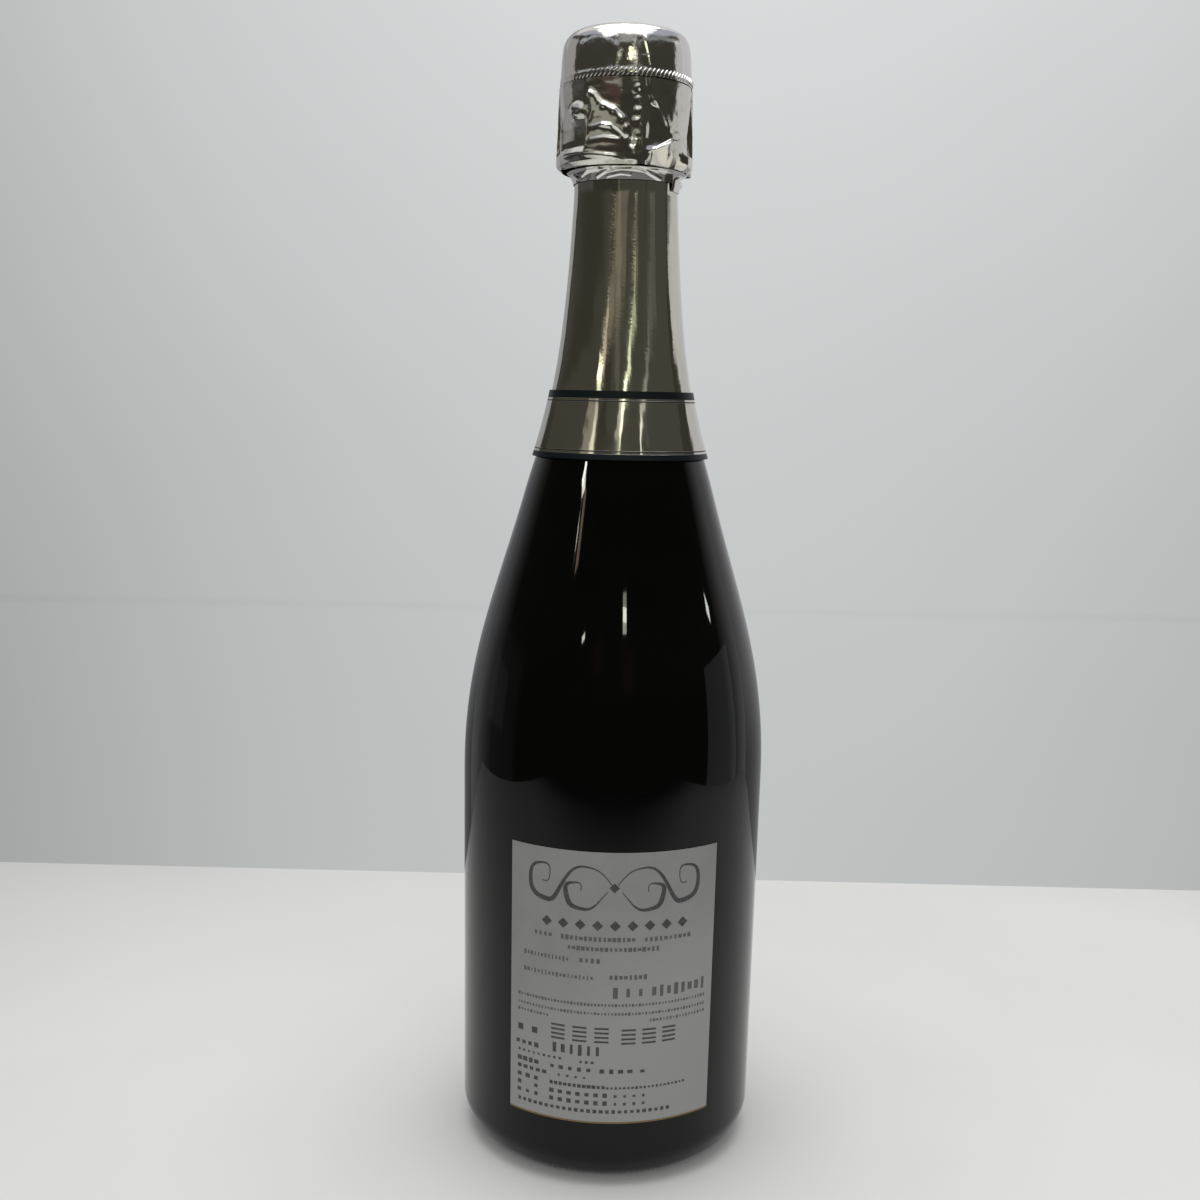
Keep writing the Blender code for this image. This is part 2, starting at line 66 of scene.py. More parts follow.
def photographer():
    """The camera, from its distance, height and three angles."""
    pitch, yaw, roll = (math.radians(angle) for angle in (camera_pitch, camera_yaw, camera_roll))
    ahead = Vector((math.sin(yaw) * math.cos(pitch), math.cos(yaw) * math.cos(pitch), -math.sin(pitch)))
    level = Vector((math.cos(yaw), -math.sin(yaw), 0))
    up = level.cross(ahead)
    right = level * math.cos(roll) + up * math.sin(roll)
    upright = up * math.cos(roll) - level * math.sin(roll)
    look = Matrix((right, upright, -ahead)).transposed().to_4x4()
    lens = bpy.data.cameras.new("camera")
    lens.sensor_width = 36
    lens.lens = lens.sensor_width * focal_length_px / frame_width_px
    lens.shift_y = frame_rise_px / frame_width_px
    lens.clip_start = 0.01
    camera = bpy.data.objects.new("camera", lens)
    camera.matrix_world = (Matrix.Rotation(math.radians(camera_azimuth), 4, "Z")
                           @ Matrix.Translation((0, -camera_distance, camera_height)) @ look)
    bpy.context.scene.collection.objects.link(camera)
    bpy.context.scene.camera = camera


photographer()


# Glass bottle
# Blown dark green glass, almost black when it is full. It is one wall from the punt up the
# outside, over the lip and down the inside, with fine stipples moulded into the heel.

body_radius = 0.04425
body_wall = 0.0049
heel_radius = 0.0110
heel_centre = (body_radius - heel_radius, heel_radius)
bearing_width = 0.0022
shoulder_height = 0.1130
waist = Vector((0.02715, 0.1945))
waist_lean = Vector((-0.28, 1)).normalized()
neck = Vector((0.0138, 0.2753))
neck_lean = Vector((-0.05, 1)).normalized()
shoulder_handles = (0.0335, 0.0305)
neck_handles = (0.0180, 0.0545)
neck_wall = 0.0048
bore_radius = 0.0090
glass_height = 0.2995
collar_radius = 0.0155
collar_low = 0.2862
collar_high = 0.2908
collar_round = 0.0008
bead_radius = 0.0144
bead_low = 0.2937
lip_round = 0.0010
punt_lip = 0.0040
punt_depth = 0.0290
floor_wall = 0.0070
floor_corner = 0.0080
stipple_size = (0.0007, 0.0005, 0.0005)
stipple_sink = 0.00012
stipple_rings = ((-74, 132), (-66, 138), (-58, 142))
sharp_angle = 42


def place(radius, azimuth, height):
    """The point at a radius, an azimuth and a height."""
    turn = math.radians(azimuth)
    return Vector((radius * math.sin(turn), -radius * math.cos(turn), height))


def arc(centre, radius, start, end, steps):
    """Points on an arc of an outline, its angles in degrees from straight outwards."""
    angles = [math.radians(start + (end - start) * step / steps) for step in range(steps + 1)]
    return [(centre[0] + radius * math.cos(a), centre[1] + radius * math.sin(a)) for a in angles]


def curve(start, start_handle, end_handle, end, steps):
    """Points on a Bezier curve of an outline."""
    knots = [Vector(point) for point in (start, start_handle, end_handle, end)]
    return [tuple(point) for point in interpolate_bezier(*knots, steps + 1)]


def radius_at(heights, outline):
    """The radius of a rising outline at a height, or at each of several."""
    return np.interp(heights, [z for _, z in outline], [r for r, _ in outline])


def offset(outline, distances):
    """The outline moved to the right of its way, by one distance or by one for each point."""
    knots = [Vector(point) for point in outline]
    runs = [(after - before).normalized() for before, after in zip(knots, knots[1:])]
    if not isinstance(distances, list):
        distances = [distances] * len(knots)
    moved = []
    for knot, before, after, distance in zip(knots, runs[:1] + runs, runs + runs[-1:], distances):
        mitre = (before + after) * distance / (1 + before.dot(after))
        moved.append((knot.x + mitre.y, knot.y - mitre.x))
    return moved


def around(count):
    """Evenly spaced azimuths right round the bottle."""
    return np.arange(count) * 360.0 / count


def rows_round(outline, azimuths, swell=None):
    """A row of points for each point of an outline, further out by swell(azimuths, height)."""
    turns = np.radians(azimuths)
    rows = []
    for radius, height in outline:
        if radius == 0:
            rows.append(np.array([[0, 0, height]]))
            continue
        reach = np.full(len(azimuths), float(radius))
        if swell:
            reach += swell(azimuths, height)
        rows.append(np.stack([reach * np.sin(turns), -reach * np.cos(turns),
                              np.full(len(azimuths), height)], axis=1))
    return rows


def drawn(name, points, faces, material):
    """A piece made of points and faces, smooth but for its sharp edges."""
    mesh = bpy.data.meshes.new(name)
    mesh.from_pydata(points, [], faces)
    mesh.materials.append(material)
    mesh.shade_smooth()
    mesh.set_sharp_from_angle(angle=math.radians(sharp_angle))
    piece = bpy.data.objects.new(name, mesh)
    bpy.context.scene.collection.objects.link(piece)
    return piece


def skin(name, rows, material, looped=False, closed=True):
    """A piece from rows of points: a row of one point is a pole, and a looped one joins its ends."""
    points, index = [], []
    for row in rows:
        index.append(list(range(len(points), len(points) + len(row))))
        points += [tuple(point) for point in row]
    count = max(len(row) for row in index)
    index = [row * count if len(row) == 1 else row for row in index]
    faces = []
    for lower, upper in list(zip(index, index[1:])) + ([(index[-1], index[0])] if looped else []):
        for column in range(count if closed else count - 1):
            beside = (column + 1) % count
            corners = (lower[column], lower[beside], upper[beside], upper[column])
            faces.append(tuple(dict.fromkeys(corners)))
    if not closed:
        faces += [[row[0] for row in index], [row[-1] for row in reversed(index)]]
    return drawn(name, points, faces, material)


class Tone:
    """A node's output that works in sums: each operator adds the Math node that it needs."""

    def __init__(self, tree, socket=None):
        self.tree = tree
        self.socket = socket

    def node(self, kind, settings=None, inputs=None, output=0):
        """Any other node: its settings first, then the values or links of its sockets."""
        made = self.tree.nodes.new(kind)
        for name, value in (settings or {}).items():
            setattr(made, name, value)
        for name, value in (inputs or {}).items():
            if isinstance(value, Tone):
                self.tree.links.new(value.socket, made.inputs[name])
            else:
                made.inputs[name].default_value = value
        return Tone(self.tree, made.outputs[output])

    def sum(self, operation, *terms):
        """A Math node on numbers and tones."""
        return self.node("ShaderNodeMath", {"operation": operation}, dict(enumerate(terms)))

    def __add__(self, other):
        return self.sum("ADD", self, other)

    def __radd__(self, other):
        return self.sum("ADD", other, self)

    def __sub__(self, other):
        return self.sum("SUBTRACT", self, other)

    def __rsub__(self, other):
        return self.sum("SUBTRACT", other, self)

    def __mul__(self, other):
        return self.sum("MULTIPLY", self, other)

    def __rmul__(self, other):
        return self.sum("MULTIPLY", other, self)

    def part(self, axis):
        """The x, y or z of a vector."""
        return self.node("ShaderNodeSeparateXYZ", None, {0: self}, axis)

    def bearing(self):
        """The azimuth of a place or a direction, in degrees."""
        return self.sum("ARCTAN2", self.part(0), self.part(1) * -1) * math.degrees(1)

    def rise(self, start, end, low=0.0, high=1.0):
        """A soft step from low to high, as this value goes from start to end."""
        return self.node("ShaderNodeMapRange", {"interpolation_type": "SMOOTHSTEP"},
                         {0: self, 1: start, 2: end, 3: low, 4: high})

    def between(self, start, end, soft):
        """1 where this value lies between two edges, with soft flanks."""
        return self.rise(start - soft, start) * self.rise(end, end + soft, 1.0, 0.0)

    def blend(self, colour, other):
        """The first colour where this mask is 0, the other where it is 1."""
        paints = [paint if isinstance(paint, Tone) else (*paint, 1) for paint in (colour, other)]
        return self.node("ShaderNodeMix", {"data_type": "RGBA"}, {0: self, 6: paints[0], 7: paints[1]}, 2)

    def speckle(self, scale, detail=2.0, stretch=(1, 1, 1)):
        """Noise from 0 to 1 over this position, with so many grains to a metre."""
        scaled = self.node("ShaderNodeVectorMath", {"operation": "MULTIPLY"}, {0: self, 1: stretch})
        return self.node("ShaderNodeTexNoise", None, {"Vector": scaled, "Scale": scale, "Detail": detail})

    def relief(self, depth, over=None):
        """The surface normal that this height gives."""
        links = {"Height": self, "Distance": depth}
        if over is not None:
            links["Normal"] = over
        return self.node("ShaderNodeBump", None, links)


def finish(name, steady, changing):
    """A Principled material. Its changing values are worked out from the place on the object."""
    material = bpy.data.materials.new(name)
    material.use_nodes = True
    tree = material.node_tree
    shader = tree.nodes["Principled BSDF"]
    for socket, value in steady.items():
        shader.inputs[socket].default_value = value
    spot = Tone(tree).node("ShaderNodeTexCoord", output="Object")
    for socket, tone in changing(spot).items():
        tree.links.new(tone.socket, shader.inputs[socket])
    return material


def recipe(name, sizes):
    """A Geometry Nodes tree with named inputs, and those inputs as tones."""
    tree = bpy.data.node_groups.new(name, "GeometryNodeTree")
    tree.interface.new_socket("Geometry", in_out="INPUT", socket_type="NodeSocketGeometry")
    tree.interface.new_socket("Geometry", in_out="OUTPUT", socket_type="NodeSocketGeometry")
    for size, kind in sizes.items():
        tree.interface.new_socket(size, in_out="INPUT", socket_type="NodeSocket" + kind)
    start = tree.nodes.new("NodeGroupInput")
    return tree, {socket.name: Tone(tree, socket) for socket in start.outputs if socket.name}


def serve(tree, shape, material):
    """The end of a tree: real faces in one material."""
    solid = shape.node("GeometryNodeRealizeInstances", None, {0: shape})
    painted = solid.node("GeometryNodeSetMaterial", None, {"Geometry": solid, "Material": material})
    tree.links.new(painted.socket, tree.nodes.new("NodeGroupOutput").inputs[0])


def grown(tree, values, path=None):
    """The plain mesh that a tree makes of its inputs and, where it follows one, a path of edges."""
    seed = bpy.data.objects.new("seed", path or bpy.data.meshes.new("seed"))
    bpy.context.scene.collection.objects.link(seed)
    grower = seed.modifiers.new("grow", "NODES")
    grower.node_group = tree
    for socket in tree.interface.items_tree:
        if socket.in_out == "INPUT" and socket.name in values:
            grower[socket.identifier] = values[socket.name]
    graph = bpy.context.evaluated_depsgraph_get()
    mesh = bpy.data.meshes.new_from_object(seed.evaluated_get(graph), depsgraph=graph)
    seed.modifiers.clear()
    bpy.data.objects.remove(seed)
    return mesh


def joined(name, meshes, material):
    """One piece from several meshes."""
    points, faces = [], []
    for mesh in meshes:
        first = len(points)
        points += [tuple(vertex.co) for vertex in mesh.vertices]
        faces += [tuple(first + index for index in face.vertices) for face in mesh.polygons]
    return drawn(name, points, faces, material)


def marks_round(name, kind):
    """A tree that sets small boxes or beads side by side round the axis, facing outwards."""
    tree, into = recipe(name, {"Count": "Int", "First": "Float", "Step": "Float", "Radius": "Float",
                               "Height": "Float", "Slant": "Float", "Size": "Vector", "Lean": "Float",
                               "Tip": "Float", "Least": "Float", "Seed": "Int", "Material": "Material"})
    start = into["Count"]
    turn = into["First"] + start.node("GeometryNodeInputIndex") * into["Step"]
    across, ahead = start.sum("SINE", turn), start.sum("COSINE", turn)
    spot = start.node("ShaderNodeCombineXYZ", None,
                      {0: into["Radius"] * across, 1: into["Radius"] * ahead * -1,
                       2: into["Height"] + into["Slant"] * across})
    points = start.node("GeometryNodePoints", None, {"Count": start, "Position": spot})
    if kind == "box":
        mark = start.node("GeometryNodeMeshCube", None, {"Size": (1, 1, 1)})
    else:
        mark = start.node("GeometryNodeMeshIcoSphere", None, {"Radius": 0.5, "Subdivisions": 2})
    wide, tall = (start.node("FunctionNodeRandomValue", {"data_type": "FLOAT"},
                             {2: into["Least"], 3: 1.0, 8: seed}, 1)
                  for seed in (into["Seed"], into["Seed"] + 7))
    shares = start.node("ShaderNodeCombineXYZ", None, {0: wide, 1: 1.0, 2: tall})
    size = start.node("ShaderNodeVectorMath", {"operation": "MULTIPLY"}, {0: into["Size"], 1: shares})
    facing = start.node("ShaderNodeCombineXYZ", None, {0: into["Tip"], 1: into["Lean"], 2: turn})
    marks = start.node("GeometryNodeInstanceOnPoints", None,
                       {"Points": points, "Instance": mark, "Rotation": facing, "Scale": size})
    serve(tree, marks, into["Material"])
    return tree


def glass_side():
    """The outside of the glass from the heel to the top of the neck's taper."""
    shoulder = curve((body_radius, shoulder_height), (body_radius, shoulder_height + shoulder_handles[0]),
                     waist - shoulder_handles[1] * waist_lean, waist, 40)
    taper = curve(waist, waist + neck_handles[0] * waist_lean, neck - neck_handles[1] * neck_lean, neck, 40)
    return shoulder + taper[1:]


def glass_hollow():
    """The inside of the glass beside its side, with a wall that thins a little towards the neck."""
    side = glass_side()
    share = [min(max((z - shoulder_height) / (neck.y - shoulder_height), 0), 1) for _, z in side]
    return offset(side, [-(body_wall + (neck_wall - body_wall) * s * s * (3 - 2 * s)) for s in share])


def glass_floor():
    """The inside of the base, from the wall down and over the punt to the axis."""
    valley = body_radius - body_wall - floor_corner
    top = punt_depth + floor_wall
    corner = arc((valley, floor_wall + floor_corner), floor_corner, 0, -90, 10)
    return corner + curve(corner[-1], (valley * 0.92, floor_wall), (valley * 0.86, top), (0, top), 20)[1:]


def glass_outline():
    """The whole wall, from the top of the punt to the floor inside."""
    mouth = body_radius - heel_radius - bearing_width - punt_lip
    dome = curve((0, punt_depth), (mouth * 0.55, punt_depth),
                 (mouth, punt_lip + (punt_depth - punt_lip) * 0.57), (mouth, punt_lip), 24)
    foot = arc((mouth + punt_lip, punt_lip), punt_lip, 180, 270, 8)[1:]
    heel = arc(heel_centre, heel_radius, -90, 0, 16)
    straight = shoulder_height - heel_radius
    wall = [(body_radius, heel_radius + straight * step / 8) for step in range(1, 8)]
    ring = (arc((collar_radius - collar_round, collar_low + collar_round), collar_round, -90, 0, 6)
            + arc((collar_radius - collar_round, collar_high - collar_round), collar_round, 0, 90, 6))
    crown = curve((neck.x, bead_low - lip_round * 1.5), (neck.x, bead_low), (bead_radius, bead_low),
                  (bead_radius, bead_low + lip_round), 8)
    lip = (arc((bead_radius - lip_round, glass_height - lip_round), lip_round, 0, 90, 6)
           + arc((bore_radius + lip_round, glass_height - lip_round), lip_round, 90, 180, 6))
    return (dome + foot + heel + wall + glass_side() + [(neck.x, collar_low)] + ring
            + [(neck.x, collar_high)] + crown + lip + glass_hollow()[::-1] + glass_floor())


def glass_look(spot):
    """Blown glass: a faint cloud of green, dust, fingerprints in the gloss and a slow wave in the wall."""
    smear = spot.speckle(60.0, 4.0, (1, 1, 0.3)).rise(0.48, 0.78)
    dust = spot.speckle(1500.0, 1.0).rise(0.72, 0.80)
    low = spot.part(2).rise(0.0, 0.014, 1.0, 0.0)
    colour = spot.speckle(22.0, 3.0).rise(0.35, 0.7).blend((0.0008, 0.0010, 0.0008), (0.0014, 0.0018, 0.0013))
    return {"Base Color": dust.blend(colour, (0.006, 0.006, 0.006)),
            "Roughness": 0.030 + smear * 0.030 + low * 0.06,
            "Normal": spot.speckle(26.0, 1.0, (1, 1, 0.5)).relief(0.00022)}


dark_glass = finish("dark_glass", {"IOR": 1.50, "Specular IOR Level": 0.27}, glass_look)
dotted = marks_round("stipples_round", "bead")
glass_wall = skin("glass_wall", rows_round(glass_outline(), around(256)), dark_glass)
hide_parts("glass_bottle")
stipples = []
for angle, count in stipple_rings:
    radius, height = arc(heel_centre, heel_radius - stipple_sink, angle, angle, 1)[0]
    stipples.append(grown(dotted, {"Count": count, "Step": math.tau / count, "Radius": radius,
                                   "Height": height, "Size": stipple_size, "Least": 0.7,
                                   "Tip": math.radians(-angle), "Seed": -angle}))
heel_stipples = joined("heel_stipples", stipples, dark_glass)
for piece in (glass_wall, heel_stipples):
    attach(piece, "bottle")


# Wine
# Pale gold sparkling wine. It fills the hollow up to a level in the neck, under the cork.

wine_level = 0.2205
wine_fit = 0.0003


def wine_look(spot):
    """Pale gold, with a trace of haze."""
    haze = spot.speckle(30.0, 2.0)
    return {"Base Color": haze.blend((0.60, 0.47, 0.19), (0.68, 0.56, 0.26)), "Roughness": haze * 0.06 + 0.02}


inner_wall = [point for point in glass_hollow() if point[1] < wine_level]
wet = offset(glass_floor()[::-1] + inner_wall, -wine_fit)
wine_outline = [(0, wet[0][1]), *wet[1:-1], (wet[-1][0], wine_level), (0, wine_level)]
gold_wine = finish("gold_wine", {"IOR": 1.34, "Transmission Weight": 0.8}, wine_look)
wine = skin("wine", rows_round(wine_outline, around(128)), gold_wine)
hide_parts("wine_fill")
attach(wine, "bottle")


# Cork
# A stopper of pressed cork grain with two discs of whole cork glued under it, where it meets the
# wine. The bore squeezes it, and its head swells over the lip into the plate above.

cork_foot = 0.2745
disc_height = 0.0048
disc_gap = 0.0003
squeezed_radius = 0.00866
squeezed_length = 0.0145
cork_head_radius = 0.0142
cork_seat = 0.2998
cork_shelf = 0.31395
cork_top = 0.31565
cork_crown_radius = 0.0111
cork_chamfer = 0.0003
cork_grain = 620.0
cork_unevenness = 0.00005
cork_sink = 0.00004
swell_height = 0.0028
brow_height = 0.0025


def pressed_look(spot):
    """Grains of cork of different browns, with dark glue and pits between them."""
    cells = {"Vector": spot, "Scale": cork_grain}
    grain = spot.node("ShaderNodeTexVoronoi", None, cells, 1)
    edge = spot.node("ShaderNodeTexVoronoi", {"feature": "DISTANCE_TO_EDGE"}, cells)
    pits = spot.speckle(900.0, 3.0).rise(0.60, 0.72)
    brown = grain.part(0).blend((0.42, 0.25, 0.12), (0.70, 0.50, 0.30))
    glued = edge.rise(0.0, 0.09, 1.0, 0.0).blend(brown, (0.22, 0.12, 0.06))
    return {"Base Color": pits.blend(glued, (0.16, 0.09, 0.05)), "Roughness": 0.86 - grain.part(1) * 0.1,
            "Normal": (edge.rise(0.0, 0.12) - pits * 0.8).relief(0.0002)}


def whole_look(spot):
    """Whole cork: fine growth lines across the disc and a few long pores."""
    lines = spot.speckle(700.0, 2.0, (1, 0.06, 1))
    pores = spot.speckle(300.0, 2.0, (1, 1, 0.25)).rise(0.62, 0.70)
    brown = lines.rise(0.35, 0.7).blend((0.66, 0.45, 0.26), (0.50, 0.31, 0.16))
    return {"Base Color": pores.blend(brown, (0.20, 0.11, 0.06)), "Roughness": 0.80 + lines * 0.1,
            "Normal": (1.0 - pores).relief(0.0002)}


pressed_cork = finish("pressed_cork_grain", {"Specular IOR Level": 0.3}, pressed_look)
whole_cork = finish("whole_cork", {"Specular IOR Level": 0.3}, whole_look)


def cork_dent(azimuths, height):
    """The slight unevenness of a cork's side."""
    dents = np.array([noise.noise(place(1.2, a, height * 90)) for a in azimuths])
    return cork_unevenness * dents - cork_sink


for name, low in (("cork_disc_lower", cork_foot), ("cork_disc_upper", cork_foot + disc_height + disc_gap)):
    high = low + disc_height + disc_gap
    side = [(squeezed_radius, low + disc_height * step / 6) for step in range(1, 6)]
    disc_outline = [(0, low), (squeezed_radius - cork_chamfer, low), (squeezed_radius, low + cork_chamfer),
                    *side, (squeezed_radius, high - cork_chamfer), (squeezed_radius - cork_chamfer, high),
                    (0, high)]
    disc = skin(name + "_skin", rows_round(disc_outline, around(96), cork_dent), whole_cork)
    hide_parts(name)
    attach(disc, "cork")

stopper_low = cork_foot + 2 * (disc_height + disc_gap)
squeezed = [(squeezed_radius, stopper_low + cork_chamfer + squeezed_length * step / 8) for step in range(9)]
swelling = curve((squeezed_radius + 0.0001, cork_seat), (cork_head_radius, cork_seat),
                 (cork_head_radius, cork_seat), (cork_head_radius, cork_seat + swell_height), 12)
brow = curve((cork_head_radius, cork_shelf - brow_height), (cork_head_radius, cork_shelf - 0.0009),
             (0.0136, cork_shelf - 0.0004), (0.0124, cork_shelf), 8)
stopper_outline = [(0, stopper_low), (squeezed_radius - cork_chamfer, stopper_low), *squeezed, *swelling,
                   (cork_head_radius, cork_seat + 0.006), (cork_head_radius, cork_shelf - 0.0030), *brow,
                   (0.0117, cork_shelf), (cork_crown_radius, cork_top - cork_chamfer), (0, cork_top)]
stopper = skin("cork_stopper", rows_round(stopper_outline, around(128), cork_dent), pressed_cork)
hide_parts("cork_body")
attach(stopper, "cork")


# Plate of the muselet
# A cap pressed from thin lacquered steel. It keeps the wire from cutting into the cork, and the
# channel round its crown holds the wire ring.

plate_thickness = 0.00035
plate_outline = [(0.01435, 0.31315), *arc((0.01375, 0.3140), 0.0006, 0, 90, 4), (0.0123, 0.3146),
                 *arc((0.0122, 0.3150), 0.0004, 270, 180, 3), *arc((0.0112, 0.31585), 0.0006, 0, 80, 4),
                 (0.006, 0.31625), (0, 0.3163)]


def pressed(outline, thickness):
    """The outline of a sheet over the axis: out along its inner side and back along its outer side."""
    inner = offset(outline, -thickness)
    return [(0, inner[-1][1]), *inner[-2::-1], *outline]


def plate_look(spot):
    """Warm lacquer over steel, rubbed through a little on the crown's edge."""
    rub = spot.speckle(500.0, 3.0).rise(0.62, 0.75)
    return {"Base Color": rub.blend((0.50, 0.42, 0.26), (0.62, 0.60, 0.56)), "Roughness": 0.22 + rub * 0.2,
            "Normal": spot.speckle(900.0, 1.0).relief(0.00001)}


lacquer = finish("plate_lacquer", {"Metallic": 1.0, "Coat Weight": 0.5, "Coat Roughness": 0.1}, plate_look)
plate = skin("wire_plate", rows_round(pressed(plate_outline, plate_thickness), around(128)), lacquer)
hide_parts("muselet_plate")
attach(plate, "muselet")


# Wire cage
# One soft steel wire. It rings the plate and runs down in four twisted legs, and the foot of each
# leg is bent into an eye for the belt.

wire_radius = 0.0005
wire_fit = 0.0003
strand_offset = 0.0006
pair_radius = strand_offset + wire_radius
eye_radius = 0.0013
belt_radius = 0.0159
belt_height = 0.2841
rim_radius = 0.01435
rim_height = 0.3146
rim_leg_radius = 0.01515
leg_head_radius = 0.0158
leg_collar_radius = 0.0169
twist_start = 0.3118
leg_bend = 0.307725
eye_sweep = 290
ring_radius = 0.01315
ring_height = 0.3154
leg_azimuths = [12.0 + 90 * index for index in range(4)]
leg_turns = 3.25


def leg_profile():
    """The middle of one leg: over the plate's rim, and then twisted down to the collar."""
    over = [(ring_radius, ring_height), *arc((rim_radius, rim_height), wire_fit + wire_radius, 90, 0, 8)]
    down = [(rim_leg_radius, twist_start), (leg_head_radius, leg_bend), (leg_head_radius, glass_height),
            (leg_collar_radius, collar_high), (leg_collar_radius, belt_height + eye_radius + pair_radius)]
    return over, down


def run_along(profile, steps, easings=3):
    """Evenly spaced points on a profile of straight runs, with its corners eased so many times."""
    knots = np.array(profile)
    length = np.concatenate([[0], np.cumsum(np.hypot(*np.diff(knots, axis=0).T))])
    spaced = np.linspace(0, length[-1], steps + 1)
    points = np.stack([np.interp(spaced, length, knots[:, axis]) for axis in (0, 1)], axis=1)
    for _ in range(easings):
        points[1:-1] = (points[:-2] + 2 * points[1:-1] + points[2:]) / 4
    return [tuple(point) for point in points]


def twisted(profile, azimuth, turns, sign):
    """One strand of a twisted pair along a profile in the plane of an azimuth."""
    side = place(1, azimuth + 90, 0)
    knots = [Vector(point) for point in profile]
    strand = []
    last = len(knots) - 1
    for index, point in enumerate(knots):
        along = (knots[min(index + 1, last)] - knots[max(index - 1, 0)]).normalized()
        turn = math.tau * turns * index / last
        swing = side * math.cos(turn) + place(-along.y, azimuth, along.x) * math.sin(turn)
        strand.append(place(point.x, azimuth, point.y) + sign * strand_offset * swing)
    return strand


def leg(azimuth):
    """One leg: down one strand, round the eye that holds the belt, and back up the other."""
    over, down = leg_profile()
    pair = run_along(down, 78)
    side = strand_offset * place(1, azimuth + 90, 0)
    first, second = (twisted(pair, azimuth, leg_turns, sign) for sign in (-1, 1))
    outside = (leg_collar_radius + strand_offset, down[-1][1])
    reach = outside[1] - belt_height
    eye_side = (belt_radius + eye_radius, belt_height)
    bend = curve(outside, (outside[0], outside[1] - reach / 2), (eye_side[0], belt_height + reach / 3),
                 eye_side, 6)
    eye = [place(radius, azimuth, height)
           for radius, height in bend[1:-1] + arc((belt_radius, belt_height), eye_radius, 0, -eye_sweep, 24)]
    if first[-1].xy.length < second[-1].xy.length:
        eye.reverse()
    near, far = ([place(radius, azimuth, height) + sign * side for radius, height in over]
                 for sign in (-1, 1))
    return near + first + eye + second[::-1] + far[::-1]


def cage_path():
    """The whole wire: a leg, then an arc of the ring over the plate, four times over."""
    points = []
    half_gap = math.degrees(strand_offset / ring_radius)
    for azimuth in leg_azimuths:
        points += leg(azimuth)
        turns = [azimuth + half_gap + (90 - 2 * half_gap) * step / 16 for step in range(1, 16)]
        points += [place(ring_radius, turn, ring_height) for turn in turns]
    return points


def wire_drawer():
    """A tree that draws a round wire along a path."""
    tree, into = recipe("round_wire", {"Radius": "Float", "Sides": "Int", "Material": "Material"})
    line = into["Geometry"].node("GeometryNodeMeshToCurve", None, {"Mesh": into["Geometry"]})
    ring = line.node("GeometryNodeCurvePrimitiveCircle", None,
                     {"Resolution": into["Sides"], "Radius": into["Radius"]})
    drawn_wire = line.node("GeometryNodeCurveToMesh", None, {"Curve": line, "Profile Curve": ring})
    serve(tree, drawn_wire, into["Material"])
    return tree


def wire_piece(name, points, material):
    """A closed wire through the points and back to the first."""
    path = bpy.data.meshes.new(name)
    path.from_pydata(points, [(index, (index + 1) % len(points)) for index in range(len(points))], [])
    return joined(name, [grown(round_wire, {"Radius": wire_radius, "Sides": 12}, path)], material)


def wire_look(spot):
    """Galvanised steel wire: bright, with dull patches of zinc and fine drawing marks."""
    zinc = spot.speckle(450.0, 3.0).rise(0.45, 0.7)
    return {"Base Color": zinc.blend((0.62, 0.61, 0.59), (0.44, 0.44, 0.43)), "Roughness": 0.20 + zinc * 0.18,
            "Normal": spot.speckle(2500.0, 1.0).relief(0.00001)}


steel_wire = finish("galvanised_wire", {"Metallic": 1.0}, wire_look)
round_wire = wire_drawer()
cage = wire_piece("wire_cage", cage_path(), steel_wire)
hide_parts("muselet_hood_wire")
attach(cage, "muselet")


# Belt wire
# A second wire through the four eyes, under the collar. Its ends are twisted tight into a stem,
# and the loop that is left over for the fingers is folded up against the neck.

loop_azimuth = -33.0
stem_length = 0.0042
stem_turns = 1.0
loop_length = 0.0086
loop_width = 0.0060


def belt_path():
    """The belt round the neck, its twisted stem and the folded loop."""
    opening = math.degrees((strand_offset + 2 * wire_radius) / belt_radius)
    ring = [place(belt_radius, loop_azimuth + opening + (360 - 2 * opening) * step / 96, belt_height)
            for step in range(97)]
    base = belt_height + stem_length
    stem = run_along([(belt_radius + 2 * wire_radius, belt_height),
                      (leg_collar_radius, belt_height + 2 * wire_radius), (leg_collar_radius, base)], 24)
    near, far = (twisted(stem, loop_azimuth, stem_turns, sign) for sign in (-1, 1))
    loop = []
    for step in range(1, 28):
        angle = math.tau * step / 28
        across = math.degrees(math.sin(angle) * loop_width / 2 / leg_collar_radius)
        height = base + wire_radius + (1 - math.cos(angle)) / 2 * loop_length
        loop.append(place(leg_collar_radius, loop_azimuth + across, height))
    if (near[-1] - loop[0]).length > (near[-1] - loop[-1]).length:
        loop.reverse()
    return ring + near + loop + far[::-1]


belt = wire_piece("wire_belt", belt_path(), steel_wire)
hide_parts("muselet_belt_wire")
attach(belt, "muselet")


# Top of the capsule
# A disc of silver foil drawn down over the plate. Its rolled rim is knurled with slanting strokes,
# and the four legs of the wire press through its side.

